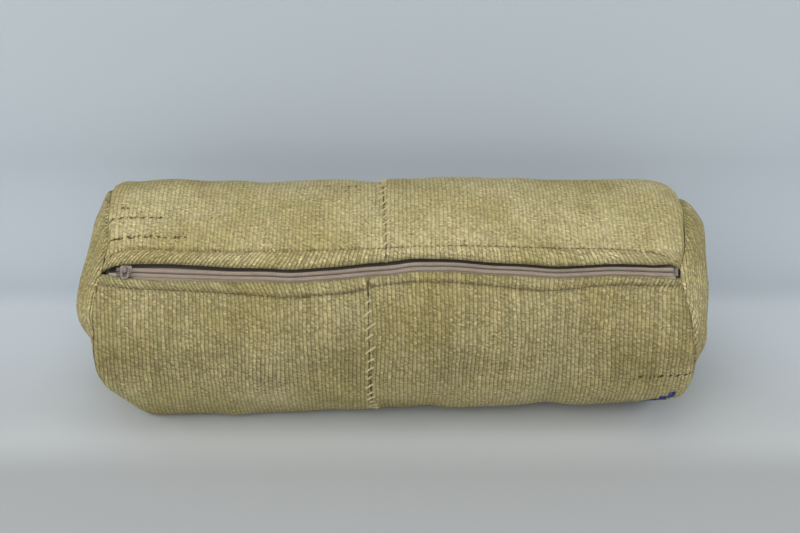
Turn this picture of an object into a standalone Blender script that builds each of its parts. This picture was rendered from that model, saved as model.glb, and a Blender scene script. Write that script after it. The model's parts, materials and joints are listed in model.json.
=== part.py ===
"""A bolster pillow: a zipped cover of flat-woven kilim over a stuffed inner cushion.

Run with: blender --background --python part.py
Metres. X runs along the bolster, -Y is the side with the zip, +Z is up, and the bolster
lies on z = 0 with the origin below its middle.

Every shell of the pillow is written in the same two coordinates. The girth coordinate
is the distance round the outside from the zip's centre line, over the top first. The
depth is the distance inward from the outside. So shells with different depths nest.
"""

import math

import bmesh
import bpy
import numpy as np

# Overall size
LENGTH = 0.478
WIDTH = 0.184
HEIGHT = 0.164
FLOOR_PRESS = 0.004
ZIP_ELEVATION = math.radians(42.0)

# Ends
END_CROWN = 0.0244
SHOULDER = 0.0131
SHOULDER_DROP = 0.0062
SEAM_ALLOWANCE = 0.015
END_RIM_DEPTH = 0.005
RIM_ROLL = 0.002
RIM_LEAD = 0.0006
DOME_SQUARENESS = 0.8

# Cloth and thread
KILIM = 0.0025
GAP = 0.0003
CURVE_ALLOWANCE = 0.00005
SOFT_GAP = 0.0004
FILLING_GAP = 0.0008
THREAD_RADIUS = 0.00025
STRAND_RADIUS = 0.0004

# Zip lips
UPPER_TAPE_SHOWN = 0.00455
LIP_CLEARANCE = 0.0006
UPPER_LIP_WIDTH = 0.0104
LOWER_LIP_WIDTH = 0.0087
HEM_BEYOND_STITCH = 0.0018
LIP_ROUND = 0.0015

# Seam between the two woven strips
UPPER_SEAM_X = -0.005
LOWER_SEAM_X = -0.017
SEAM_VALLEY_DEPTH = 0.0016
SEAM_VALLEY_FLOOR = 0.0032
SEAM_VALLEY_EDGE = 0.0062
HAND_STITCH_REACH = 0.0022
HAND_STITCH_PITCH = 0.008

# Zip
CHAIN_WIDTH = 0.0061
CHAIN_SLIT = 0.0012
COIL_HEIGHT = 0.00165
COIL_ROUND = 0.0005
COIL_SIDE_SHARE = 0.35
TAPE_THICKNESS = 0.0006
TAPE_EDGE_INSET = 0.0012
TAPE_END_MARGIN = 0.0121
STOP_LENGTH = 0.0024
STOP_PROUD = 0.0002
STOP_EDGE = 0.00025
TOP_STOP_INSET = 0.0206
BOTTOM_STOP_INSET = 0.0133

# Slider and pull
SLIDER_LENGTH = 0.0084
SLIDER_SHOULDER = 0.0002
PLATE = 0.0010
FLANGE = 0.00065
MOUTH_NARROWING = 0.66
LOW_PLATE_NARROWING = 0.0003
NECK_WIDTH = 0.0006
NECK_LENGTH = 0.0020
NECK_SETBACK = 0.0004
CROWN_CLEARANCE = 0.00038
CROWN_WALL = 0.0009
CROWN_WIDTH = 0.0022
PULL_BAR = 0.0008
PULL_CLEARANCE = 0.00065
PULL_LENGTH = 0.0075
PULL_SIDE = 0.00105
PULL_STRAIGHT_SHARE = 0.62
SLOT_STRAIGHT_SHARE = 0.5
PULL_REST = math.radians(15.0)

# Inner cushion
CASING = 0.0006
CASING_OVERRUN = 0.2
ZIP_DENT = 0.0051
DENT_MARGIN = 0.0032
DENT_RAMP = 0.010
CLOSING_STITCH_LENGTH = 0.14
CLOSING_STITCH_GIRTH = 0.012

# Fineness of the girth
GIRTH_STEP = 0.016

# Values that follow from the sizes above
HALF_LENGTH = LENGTH / 2
HALF_WIDTH = WIDTH / 2
HALF_HEIGHT = (HEIGHT + FLOOR_PRESS) / 2
AXIS_Z = HEIGHT - HALF_HEIGHT
SEAM_X = HALF_LENGTH - END_CROWN
SHOULDER_X = SEAM_X - SHOULDER
NORMAL_INSET = 0.024
CORE_DEPTH = (HALF_WIDTH + HALF_HEIGHT) / 2
SLIDER_TAIL_WIDTH = CHAIN_WIDTH + 2 * (GAP + FLANGE)
SLIDER_WIDTH = SLIDER_TAIL_WIDTH + 2 * SLIDER_SHOULDER
CROWN_BORE = PULL_BAR / math.sqrt(2) + CROWN_CLEARANCE
PULL_WIDTH = CROWN_WIDTH + 2 * (PULL_CLEARANCE + PULL_SIDE)
UPPER_LIP_EDGE = CHAIN_WIDTH / 2 + UPPER_TAPE_SHOWN
LOWER_LIP_EDGE = SLIDER_WIDTH / 2 + LIP_CLEARANCE
HEM = 2 * KILIM
UPPER_STITCH = UPPER_LIP_EDGE + UPPER_LIP_WIDTH
LOWER_STITCH = LOWER_LIP_EDGE + LOWER_LIP_WIDTH
UPPER_HEM_END = UPPER_STITCH + HEM_BEYOND_STITCH
LOWER_HEM_END = LOWER_STITCH + HEM_BEYOND_STITCH
TAPE_DEPTH = HEM + GAP + CURVE_ALLOWANCE
COIL_DEPTH = TAPE_DEPTH - GAP - COIL_HEIGHT
TOP_PLATE_DEPTH = COIL_DEPTH - GAP - PLATE
LOW_PLATE_DEPTH = TAPE_DEPTH + TAPE_THICKNESS + GAP
TAPE_X = SEAM_X - TAPE_END_MARGIN
TOP_STOP_X = SEAM_X - TOP_STOP_INSET
COIL_START = -TOP_STOP_X + GAP
BOTTOM_STOP_X = SEAM_X - BOTTOM_STOP_INSET
COIL_END = BOTTOM_STOP_X - GAP
SLIDER_X = -TOP_STOP_X + GAP + SLIDER_LENGTH / 2
CASING_DEPTH = KILIM + SOFT_GAP
CASING_X = SHOULDER_X + SHOULDER * CASING_OVERRUN
INNER_SHOULDER_DROP = SHOULDER_DROP - KILIM * 0.4
FILLING_DEPTH = CASING_DEPTH + CASING + FILLING_GAP


def measured_ellipse(count=7200):
    """Angles round the section and the distance along it from the zip's centre line."""
    zip_angle = math.atan2(HALF_HEIGHT * math.sin(ZIP_ELEVATION), HALF_WIDTH * math.cos(ZIP_ELEVATION))
    angles = zip_angle + np.linspace(0.0, 2 * math.pi, count)
    across = -HALF_WIDTH * np.cos(angles)
    up = HALF_HEIGHT * np.sin(angles)
    steps = np.hypot(np.diff(across), np.diff(up))
    return angles, np.concatenate([[0.0], np.cumsum(steps)])


ANGLES, DISTANCES = measured_ellipse()
GIRTH = float(DISTANCES[-1])


def cover_point(x, girth, depth):
    """The point at this girth coordinate and depth, no lower than cloth pressed on the floor."""
    angle = float(np.interp(girth % GIRTH, DISTANCES, ANGLES))
    inset = min(depth, NORMAL_INSET)
    normal = np.array([-math.cos(angle) / HALF_WIDTH, math.sin(angle) / HALF_HEIGHT])
    normal /= np.linalg.norm(normal)
    outside = np.array([-HALF_WIDTH * math.cos(angle), AXIS_Z + HALF_HEIGHT * math.sin(angle)])
    place = outside - inset * normal
    place[1] = max(place[1], inset)
    if depth > NORMAL_INSET:
        share = (depth - NORMAL_INSET) / (CORE_DEPTH - NORMAL_INSET)
        place += (np.array([0.0, AXIS_Z]) - place) * share
    return (x, float(place[0]), float(place[1]))


def girth_stations():
    """Girth coordinates of the stations that every shell shares, from the zip round to the zip."""
    lip = [UPPER_LIP_EDGE, UPPER_LIP_EDGE + LIP_ROUND / 3, UPPER_LIP_EDGE + LIP_ROUND, UPPER_HEM_END]
    lip.append(UPPER_HEM_END + KILIM)
    low = [LOWER_HEM_END + KILIM, LOWER_HEM_END, LOWER_LIP_EDGE + LIP_ROUND, LOWER_LIP_EDGE + LIP_ROUND / 3]
    low.append(LOWER_LIP_EDGE)
    start = UPPER_HEM_END + KILIM
    finish = GIRTH - LOWER_HEM_END - KILIM
    count = round((finish - start) / GIRTH_STEP)
    middle = np.linspace(start, finish, count + 1)[1:-1]
    return lip + [float(place) for place in middle] + [GIRTH - distance for distance in low]


STATIONS = girth_stations()


def from_upper_lip(girth):
    return girth - UPPER_LIP_EDGE


def from_lower_lip(girth):
    return GIRTH - LOWER_LIP_EDGE - girth


def seam_x(girth):
    """Where the seam between the strips runs: the zip shears its two ends apart."""
    share = from_upper_lip(girth) / (GIRTH - UPPER_LIP_EDGE - LOWER_LIP_EDGE)
    return UPPER_SEAM_X + (LOWER_SEAM_X - UPPER_SEAM_X) * share


def lip_rounding(girth):
    """How far the fold's rounded edge has drawn in at this girth coordinate."""
    distance = min(from_upper_lip(girth), from_lower_lip(girth))
    short = max(LIP_ROUND - distance, 0.0)
    return LIP_ROUND - math.sqrt(max(LIP_ROUND**2 - short**2, 0.0))


def in_hem(girth):
    above = girth < UPPER_HEM_END + KILIM / 2
    below = girth > GIRTH - LOWER_HEM_END - KILIM / 2
    return above or below


def remove_everything():
    for found in list(bpy.data.objects):
        bpy.data.objects.remove(found, do_unlink=True)


def material(name, colour, roughness, metallic=0.0):
    made = bpy.data.materials.new(name)
    made.use_nodes = True
    shader = made.node_tree.nodes["Principled BSDF"]
    shader.inputs["Base Color"].default_value = (*colour, 1.0)
    shader.inputs["Roughness"].default_value = roughness
    shader.inputs["Metallic"].default_value = metallic
    made.diffuse_color = (*colour, 1.0)
    return made


def finish_mesh(name, shape, look):
    """Turns a bmesh into an object with outward faces and smooth round stretches."""
    bmesh.ops.recalc_face_normals(shape, faces=shape.faces)
    data = bpy.data.meshes.new(name)
    shape.to_mesh(data)
    shape.free()
    data.materials.append(look)
    for face in data.polygons:
        face.use_smooth = True
    data.set_sharp_from_angle(angle=math.radians(35.0))
    made = bpy.data.objects.new(name, data)
    bpy.context.collection.objects.link(made)
    return made


def loft(name, rings, look, wrap=False, open_profile=False):
    """A solid through rings of points. It is capped at its first and last ring unless it wraps."""
    shape = bmesh.new()
    rows = [[shape.verts.new(point) for point in ring] for ring in rings]
    sides = len(rings[0])
    pairs = list(zip(rows, rows[1:] + rows[:1])) if wrap else list(zip(rows, rows[1:]))
    for one, two in pairs:
        for side in range(sides - 1 if open_profile else sides):
            following = (side + 1) % sides
            shape.faces.new((one[side], one[following], two[following], two[side]))
    if not wrap:
        shape.faces.new(rows[0])
        shape.faces.new(rows[-1])
    bmesh.ops.remove_doubles(shape, verts=shape.verts, dist=1e-7)
    return finish_mesh(name, shape, look)


def thread(name, points, radius, look, closed=False):
    """A strand of thread along the points."""
    data = bpy.data.curves.new(name, "CURVE")
    data.dimensions = "3D"
    data.bevel_depth = radius
    data.bevel_resolution = 0
    data.use_fill_caps = True
    line = data.splines.new("POLY")
    line.points.add(len(points) - 1)
    for knot, point in zip(line.points, points):
        knot.co = (*point, 1.0)
    line.use_cyclic_u = closed
    data.materials.append(look)
    made = bpy.data.objects.new(name, data)
    bpy.context.collection.objects.link(made)
    return made


def panel_profile(side, girth):
    """Section of one strip along X: valley at the seam, shoulder, and allowance turned inward."""
    seam = seam_x(girth)
    rounding = lip_rounding(girth)
    doubled = HEM - KILIM if in_hem(girth) else 0.0
    outer = [
        (seam + side * GAP / 2, SEAM_VALLEY_DEPTH),
        (seam + side * SEAM_VALLEY_FLOOR, SEAM_VALLEY_DEPTH),
        (seam + side * SEAM_VALLEY_EDGE, 0.0),
    ]
    for turn in (0, 25, 45, 65, 90):
        angle = math.radians(turn)
        along = SHOULDER_X + SHOULDER * math.sin(angle)
        outer.append((side * along, SHOULDER_DROP * (1 - math.cos(angle))))
    back = []
    for turn in (90, 60, 35, 15, 0):
        angle = math.radians(turn)
        along = SHOULDER_X + (SHOULDER - KILIM) * math.sin(angle)
        drop = INNER_SHOULDER_DROP * (1 - math.cos(angle))
        back.append((side * along, KILIM + doubled + drop))
    back.append((seam + side * GAP / 2, KILIM + doubled))
    allowance = [(side * SEAM_X, SEAM_ALLOWANCE), (side * (SEAM_X - KILIM), SEAM_ALLOWANCE)]
    rounded_outer = [(x, depth + rounding) for x, depth in outer]
    rounded_back = [(x, depth - rounding) for x, depth in back]
    return rounded_outer + allowance + rounded_back


def body_panel(name, side, look):
    rings = [[cover_point(x, girth, depth) for x, depth in panel_profile(side, girth)] for girth in STATIONS]
    return loft(name, rings, look)


def dome(start_x, start_depth, crown_x, turns):
    """Points of a quarter dome from its rim to its crown, where the depth reaches the core."""
    points = []
    for turn in turns:
        angle = math.radians(turn)
        depth = CORE_DEPTH + (start_depth - CORE_DEPTH) * math.cos(angle) ** DOME_SQUARENESS
        points.append((start_x + (crown_x - start_x) * math.sin(angle), depth))
    return points


def round_plate(name, side, profile, look):
    """A plate turned round the girth, from its outer pole to its inner pole."""
    rings = [[cover_point(side * x, girth, depth) for x, depth in profile] for girth in STATIONS]
    return loft(name, rings, look, wrap=True, open_profile=True)


def end_panel(name, side, look):
    flange_x = SEAM_X + GAP
    rim_x = flange_x + KILIM + END_RIM_DEPTH
    outer = dome(rim_x, END_RIM_DEPTH, HALF_LENGTH, (90, 62, 42, 26, 12, 0))
    outer += [(flange_x + RIM_ROLL, END_RIM_DEPTH + RIM_LEAD), (flange_x, END_RIM_DEPTH + KILIM)]
    allowance = [(flange_x, SEAM_ALLOWANCE), (flange_x + KILIM, SEAM_ALLOWANCE)]
    inner = [(flange_x + KILIM, END_RIM_DEPTH + KILIM * 1.7), (rim_x - KILIM * 0.4, END_RIM_DEPTH + KILIM)]
    inner += dome(rim_x, END_RIM_DEPTH + KILIM * 1.1, HALF_LENGTH - KILIM, (14, 28, 44, 64, 90))
    return round_plate(name, side, outer + allowance + inner, look)


def dent(girth):
    """How much deeper the inner cushion lies behind the zip than elsewhere."""
    above = girth - UPPER_HEM_END - DENT_MARGIN
    below = GIRTH - LOWER_HEM_END - DENT_MARGIN - girth
    past = min(above, below) / DENT_RAMP
    return ZIP_DENT * (1.0 - min(max(past, 0.0), 1.0))


def casing_tube(name, look):
    rings = []
    for girth in STATIONS:
        outer = CASING_DEPTH + dent(girth)
        inner = outer + CASING
        profile = [(-CASING_X, outer), (CASING_X, outer), (CASING_X, inner), (-CASING_X, inner)]
        rings.append([cover_point(x, girth, depth) for x, depth in profile])
    return loft(name, rings, look, wrap=True)


def insert_rim():
    """Where the cushion passes through the ring of the cover's seam allowances."""
    return SEAM_ALLOWANCE + SOFT_GAP * 2


def cushion_end(grow):
    """Profile of the cushion's end, from its shoulder to its crown. Grow thickens it outward."""
    start = CASING_X + GAP
    ring_x = SEAM_X - KILIM - 6 * THREAD_RADIUS
    inside = CASING - grow
    points = [(start, CASING_DEPTH + inside)]
    points.append((start + SHOULDER * 0.25, CASING_DEPTH + 0.0030 + inside))
    points.append((ring_x - inside, SEAM_ALLOWANCE * 0.62 + inside))
    points.append((ring_x - inside, insert_rim() + inside))
    points.append((SEAM_X + KILIM * 2 - inside, insert_rim() + KILIM * 0.4 + inside))
    crown = HALF_LENGTH - KILIM - SOFT_GAP - inside
    points += dome(SEAM_X + KILIM * 3 - inside, insert_rim() + KILIM * 1.4 + inside, crown, (14, 34, 58, 90))
    return points


def dented(profile, girth):
    """The profile with the dent behind the zip, which fades out toward the cushion's ends."""
    fade_start = SHOULDER_X + SHOULDER * 0.6
    deepest = max(depth + dent(girth) for x, depth in profile if x < fade_start)
    moved = []
    for x, depth in profile:
        moved.append((x, depth + dent(girth) if x < fade_start else max(depth, deepest)))
    return moved


def insert_end(name, side, look):
    outer = cushion_end(CASING)
    inner = cushion_end(0.0)
    rings = []
    for girth in STATIONS:
        profile = dented(outer, girth)[::-1] + dented(inner, girth)
        rings.append([cover_point(side * x, girth, depth) for x, depth in profile])
    return loft(name, rings, look, wrap=True, open_profile=True)


def filling(name, look):
    end = [(x - FILLING_GAP, depth + FILLING_GAP) for x, depth in cushion_end(0.0)]
    crown_x = end[-1][0]
    end = [(SHOULDER_X * 0.5, FILLING_DEPTH)] + end[:-1] + [(crown_x, CORE_DEPTH)]
    rings = []
    for girth in STATIONS:
        half = dented(end, girth)
        right = [(x, depth) for x, depth in half]
        left = [(-x, depth) for x, depth in half]
        profile = right[::-1] + left
        rings.append([cover_point(x, girth, depth) for x, depth in profile])
    return loft(name, rings, look, wrap=True, open_profile=True)


def zip_frame():
    """Point on the cover's outside at the zip's centre line."""
    return cover_point(0.0, 0.0, 0.0)


def zip_point(x, up, depth):
    """A point of the flat zip frame: up the girth and inward, square to the cover at the zip."""
    _, across, height = zip_frame()
    across += up * math.sin(ZIP_ELEVATION) + depth * math.cos(ZIP_ELEVATION)
    height += up * math.cos(ZIP_ELEVATION) - depth * math.sin(ZIP_ELEVATION)
    return (x, across, height)


def zip_tape(name, side, width, look):
    rings = []
    for share in np.linspace(0.0, 1.0, 5):
        girth = side * (CHAIN_SLIT / 2 + (width - CHAIN_SLIT / 2) * float(share))
        corners = [(-TAPE_X, 0.0), (TAPE_X, 0.0), (TAPE_X, TAPE_THICKNESS), (-TAPE_X, TAPE_THICKNESS)]
        rings.append([cover_point(x, girth, TAPE_DEPTH + down) for x, down in corners])
    return loft(name, rings, look)


def zip_coil(name, side, look):
    """One row of teeth as a bar with a rounded top, the size of the real coil."""
    inner = CHAIN_SLIT / 2
    outer = CHAIN_WIDTH / 2
    bottom = COIL_DEPTH + COIL_HEIGHT
    flank = COIL_DEPTH + COIL_HEIGHT * COIL_SIDE_SHARE
    section = [(inner, bottom), (inner, flank), (inner + COIL_ROUND, COIL_DEPTH)]
    section += [(outer - COIL_ROUND, COIL_DEPTH), (outer, flank), (outer, bottom)]
    rings = [[zip_point(x, side * up, depth) for up, depth in section] for x in (COIL_START, COIL_END)]
    return loft(name, rings, look)


def stop_block(name, start, low, high, look):
    corners = [(low, COIL_DEPTH - STOP_PROUD), (high, COIL_DEPTH - STOP_PROUD)]
    corners += [(high, COIL_DEPTH + COIL_HEIGHT), (low, COIL_DEPTH + COIL_HEIGHT)]
    rings = [[zip_point(x, up, depth) for up, depth in corners] for x in (start, start + STOP_LENGTH)]
    made = loft(name, rings, look)
    edge = made.modifiers.new("rounding", "BEVEL")
    edge.width = STOP_EDGE
    edge.segments = 2
    return made


def block(name, low, high, look):
    """A box between two corners, in the frame of the piece that it belongs to."""
    rings = []
    for x in (low[0], high[0]):
        rings.append([(x, low[1], low[2]), (x, high[1], low[2]), (x, high[1], high[2]), (x, low[1], high[2])])
    return loft(name, rings, look)


def plate(name, low, high, look, narrowing=0.0):
    """The slider's plate: wide shoulders at its mouths, narrower at its tail."""
    half = SLIDER_LENGTH / 2
    shoulder = SLIDER_WIDTH / 2 - narrowing
    tail = SLIDER_TAIL_WIDTH / 2 - narrowing
    outline = [(-half, -shoulder * MOUTH_NARROWING), (-half * 0.76, -shoulder)]
    outline += [(half * 0.2, -shoulder), (half, -tail)]
    outline += [(x, -up) for x, up in reversed(outline)]
    rings = [[(x, up, height) for x, up in outline] for height in (low, high)]
    return loft(name, rings, look)


def crown(name, foot, look):
    """The arch that holds the pull: half a ring over the pull's bar, with two legs."""
    outer = CROWN_BORE + CROWN_WALL
    turns = [math.radians(turn) for turn in range(0, 181, 30)]
    outline = [(outer, foot)] + [(outer * math.cos(turn), outer * math.sin(turn)) for turn in turns]
    outline += [(-outer, foot), (-CROWN_BORE, foot)]
    outline += [(CROWN_BORE * math.cos(turn), CROWN_BORE * math.sin(turn)) for turn in reversed(turns)]
    outline.append((CROWN_BORE, foot))
    rings = [[(x, up, height) for up, height in outline] for x in (-CROWN_WIDTH / 2, CROWN_WIDTH / 2)]
    return loft(name, rings, look)


def add_to(target, tool):
    """Joins a helper solid to the target with a Boolean."""
    tool.hide_render = True
    tool.display_type = "WIRE"
    joined = target.modifiers.new("add_" + tool.name, "BOOLEAN")
    joined.operation = "UNION"
    joined.solver = "EXACT"
    joined.object = tool
    tool.parent = target


def slider_body(look):
    """Two plates round the chain, joined by the neck, with side flanges and the crown."""
    top = -TOP_PLATE_DEPTH
    top_under = top - PLATE
    low = -LOW_PLATE_DEPTH
    inner = SLIDER_TAIL_WIDTH / 2 - FLANGE
    body = plate("slider_body", top_under, top, look)
    add_to(body, plate("slider_low_plate", low - PLATE, low, look, narrowing=LOW_PLATE_NARROWING))
    neck_start = -SLIDER_LENGTH / 2 + NECK_SETBACK
    neck_low = (neck_start, -NECK_WIDTH / 2, low - PLATE / 2)
    neck_high = (neck_start + NECK_LENGTH, NECK_WIDTH / 2, top - PLATE / 2)
    add_to(body, block("slider_neck", neck_low, neck_high, look))
    for side, word in ((1, "upper"), (-1, "lower")):
        edges = sorted((side * inner, side * (SLIDER_TAIL_WIDTH / 2)))
        flange_low = (-SLIDER_LENGTH * 0.36, edges[0], -TAPE_DEPTH + GAP + CURVE_ALLOWANCE)
        flange_high = (SLIDER_LENGTH * 0.46, edges[1], top - PLATE / 2)
        add_to(body, block("slider_flange_" + word, flange_low, flange_high, look))
    add_to(body, crown("slider_crown", top - PLATE / 2, look))
    body.location = zip_point(SLIDER_X, 0.0, 0.0)
    body.rotation_euler = (math.pi / 2 - ZIP_ELEVATION, 0.0, 0.0)
    return body


def tab_outline(half_width, start, straight, tip):
    """Outline of a tab with square corners at its start and a round tip."""
    points = [(-half_width, start), (half_width, start), (half_width, straight)]
    for turn in range(30, 180, 30):
        angle = math.radians(turn)
        points.append((half_width * math.cos(angle), straight + (tip - straight) * math.sin(angle)))
    points.append((-half_width, straight))
    return points


def slider_pull(body, look):
    """A flat D-shaped tab whose slot goes round the crown. Its bar turns under the crown."""
    half = PULL_BAR / 2
    outer = tab_outline(PULL_WIDTH / 2, -half, PULL_LENGTH * PULL_STRAIGHT_SHARE, PULL_LENGTH)
    inner_tip = PULL_LENGTH - PULL_SIDE * 1.6
    inner = tab_outline(PULL_WIDTH / 2 - PULL_SIDE, half, PULL_LENGTH * SLOT_STRAIGHT_SHARE, inner_tip)
    rings = []
    for (out_x, out_y), (in_x, in_y) in zip(outer, inner):
        rings.append([(out_x, out_y, -half), (out_x, out_y, half), (in_x, in_y, half), (in_x, in_y, -half)])
    pull = loft("slider_pull", rings, look, wrap=True)
    pull.parent = body
    pull.rotation_euler = (math.pi - PULL_REST, 0.0, 0.0)
    return pull


def centre_seam(name, look):
    """Hand stitches that cross the slit between the strips from lip to lip."""
    depth = SEAM_VALLEY_DEPTH - GAP - THREAD_RADIUS
    start = UPPER_HEM_END
    finish = GIRTH - LOWER_HEM_END
    count = 2 * round((finish - start) / HAND_STITCH_PITCH)
    points = []
    for index, girth in enumerate(np.linspace(start, finish, count + 1)):
        side = 1 if index % 2 else -1
        points.append(cover_point(seam_x(float(girth)) + side * HAND_STITCH_REACH, float(girth), depth))
    return thread(name, points, THREAD_RADIUS, look)


def end_seam(name, side, look):
    """The seam's thread, behind the body's allowance."""
    x = side * (SEAM_X - KILIM - GAP - THREAD_RADIUS)
    depth = (HEM + SHOULDER_DROP + SEAM_ALLOWANCE) / 2
    points = [cover_point(x, girth, depth) for girth in STATIONS]
    return thread(name, points, THREAD_RADIUS, look, closed=True)


def top_stitch(name, girth, look):
    """A row of stitches along a lip, laid on the cloth."""
    points = [cover_point(x, girth, -GAP - STRAND_RADIUS) for x in (-TAPE_X, TAPE_X)]
    return thread(name, points, STRAND_RADIUS, look)


def build():
    remove_everything()
    kilim = material("kilim_straw", (0.42, 0.365, 0.195), 0.95)
    kilim_right = material("kilim_straw_right", (0.40, 0.355, 0.185), 0.95)
    kilim_ends = material("kilim_ends", (0.38, 0.335, 0.17), 0.95)
    hemp = material("hemp_thread", (0.52, 0.47, 0.32), 0.9)
    sewing = material("sewing_thread", (0.30, 0.26, 0.14), 0.85)
    tape_look = material("zip_tape_taupe", (0.27, 0.215, 0.175), 0.85)
    coil_look = material("zip_coil_nylon", (0.25, 0.2, 0.165), 0.45)
    paint = material("slider_paint", (0.33, 0.28, 0.235), 0.4)
    pull_paint = material("pull_paint", (0.36, 0.31, 0.26), 0.4)
    stop_look = material("stop_metal", (0.4, 0.36, 0.31), 0.45, 0.6)
    cotton = material("insert_cotton", (0.74, 0.73, 0.69), 0.9)
    fibre = material("fibre_fill", (0.86, 0.86, 0.85), 1.0)

    body_panel("body_panel_left", -1, kilim)
    body_panel("body_panel_right", 1, kilim_right)
    end_panel("end_panel_left", -1, kilim_ends)
    end_panel("end_panel_right", 1, kilim_ends)
    centre_seam("centre_seam_thread", hemp)
    end_seam("end_seam_thread_left", -1, sewing)
    end_seam("end_seam_thread_right", 1, sewing)
    top_stitch("topstitch_upper", UPPER_STITCH, sewing)
    top_stitch("topstitch_lower", -LOWER_STITCH, sewing)
    zip_tape("zip_tape_upper", 1, UPPER_STITCH - TAPE_EDGE_INSET, tape_look)
    zip_tape("zip_tape_lower", -1, LOWER_STITCH - TAPE_EDGE_INSET, tape_look)
    zip_coil("zip_coil_upper", 1, coil_look)
    zip_coil("zip_coil_lower", -1, coil_look)
    stop_block("top_stop_upper", -TOP_STOP_X - STOP_LENGTH, CHAIN_SLIT / 2, CHAIN_WIDTH / 2, stop_look)
    stop_block("top_stop_lower", -TOP_STOP_X - STOP_LENGTH, -CHAIN_WIDTH / 2, -CHAIN_SLIT / 2, stop_look)
    stop_block("bottom_stop", BOTTOM_STOP_X, -CHAIN_WIDTH / 2, CHAIN_WIDTH / 2, stop_look)
    body = slider_body(paint)
    slider_pull(body, pull_paint)
    casing_tube("insert_casing_tube", cotton)
    insert_end("insert_end_left", -1, cotton)
    insert_end("insert_end_right", 1, cotton)
    filling("insert_filling", fibre)
    closing_depth = CASING_DEPTH + ZIP_DENT - GAP - THREAD_RADIUS
    half = CLOSING_STITCH_LENGTH / 2
    closing = [cover_point(x, CLOSING_STITCH_GIRTH, closing_depth) for x in (-half, half)]
    thread("insert_closing_stitch", closing, THREAD_RADIUS, sewing)


build()
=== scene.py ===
import json
import math

import bpy
import numpy as np
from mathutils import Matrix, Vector


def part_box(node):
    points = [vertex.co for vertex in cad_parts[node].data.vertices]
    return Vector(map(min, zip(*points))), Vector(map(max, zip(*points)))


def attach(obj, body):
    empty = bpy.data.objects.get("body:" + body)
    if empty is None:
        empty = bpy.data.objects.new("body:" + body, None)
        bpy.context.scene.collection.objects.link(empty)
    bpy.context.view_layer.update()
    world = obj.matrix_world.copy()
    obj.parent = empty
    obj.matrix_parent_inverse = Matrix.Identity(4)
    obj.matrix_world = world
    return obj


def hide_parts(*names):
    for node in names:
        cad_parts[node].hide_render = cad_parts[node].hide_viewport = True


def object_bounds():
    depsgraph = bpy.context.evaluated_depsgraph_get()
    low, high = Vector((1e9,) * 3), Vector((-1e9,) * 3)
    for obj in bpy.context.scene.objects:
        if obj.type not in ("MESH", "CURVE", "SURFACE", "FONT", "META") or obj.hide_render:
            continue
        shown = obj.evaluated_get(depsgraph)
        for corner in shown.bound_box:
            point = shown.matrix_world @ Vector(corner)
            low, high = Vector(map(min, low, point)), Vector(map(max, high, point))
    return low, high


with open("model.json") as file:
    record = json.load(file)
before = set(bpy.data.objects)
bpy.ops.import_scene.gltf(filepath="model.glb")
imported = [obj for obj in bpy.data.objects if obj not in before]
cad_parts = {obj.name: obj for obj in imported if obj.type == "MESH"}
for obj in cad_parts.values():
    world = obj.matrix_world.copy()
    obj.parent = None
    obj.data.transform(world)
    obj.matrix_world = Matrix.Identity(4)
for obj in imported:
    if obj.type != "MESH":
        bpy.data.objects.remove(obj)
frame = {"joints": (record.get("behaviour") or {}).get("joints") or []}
cadBox = [list(corner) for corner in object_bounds()]
pullHinge = next(joint for joint in frame["joints"] if joint["type"] == "hinge")

# what everything else is laid out from, in metres
bolster = {
    "floorPress": 0.004,        # how far the round section is pressed flat underneath
    "skin": 0.0002,             # how far the cloth lies outside the plain strips
    "endCrown": 0.0244,         # how far each end puffs out past its seam
    "seed": 11,
}

leftLow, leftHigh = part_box("body_panel_left")
halfWidth = (leftHigh.y - leftLow.y) / 2 + bolster["skin"]
halfHeight = (leftHigh.z + bolster["skin"] + bolster["floorPress"]) / 2
axisHeight = leftHigh.z + bolster["skin"] - halfHeight
halfLength = cadBox[1][0]
seamAtEnds = halfLength - bolster["endCrown"]
zipAnchor = Vector(pullHinge["pos_m"])


# the round section: a place on the cover is x along the bolster and s round its girth,
# counted from the zip over the top
def ellipseTable(count=7200):
    zipAngle = math.atan2((zipAnchor.z - axisHeight) / halfHeight, -zipAnchor.y / halfWidth)
    angles = zipAngle + np.linspace(0.0, 2 * math.pi, count)
    steps = np.hypot(np.diff(-halfWidth * np.cos(angles)), np.diff(halfHeight * np.sin(angles)))
    return angles, np.concatenate([[0.0], np.cumsum(steps)])


ellipseAngles, ellipseDistances = ellipseTable()
girth = float(ellipseDistances[-1])


def sectionAt(s):
    # outside point and outward normal in the YZ plane, at girth coordinate s
    angle = np.interp(np.mod(s, girth), ellipseDistances, ellipseAngles)
    normal = np.stack([-np.cos(angle) / halfWidth, np.sin(angle) / halfHeight], axis=-1)
    normal /= np.linalg.norm(normal, axis=-1, keepdims=True)
    outside = np.stack([-halfWidth * np.cos(angle), axisHeight + halfHeight * np.sin(angle)], axis=-1)
    return outside, normal


def coverPoint(x, s, lift):
    # a point lift metres outside the section, kept softly above the surface it lies on
    x, s, lift = np.broadcast_arrays(np.asarray(x, float), np.asarray(s, float), np.asarray(lift, float))
    outside, normal = sectionAt(s)
    place = outside + lift[..., None] * normal
    lowest = np.maximum(-lift, 0.0) + 0.0005
    over = place[..., 1] - lowest
    height = lowest + 0.5 * (over + np.sqrt(over**2 + 0.0012**2))
    return np.stack([x, place[..., 0], height], axis=-1)


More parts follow.
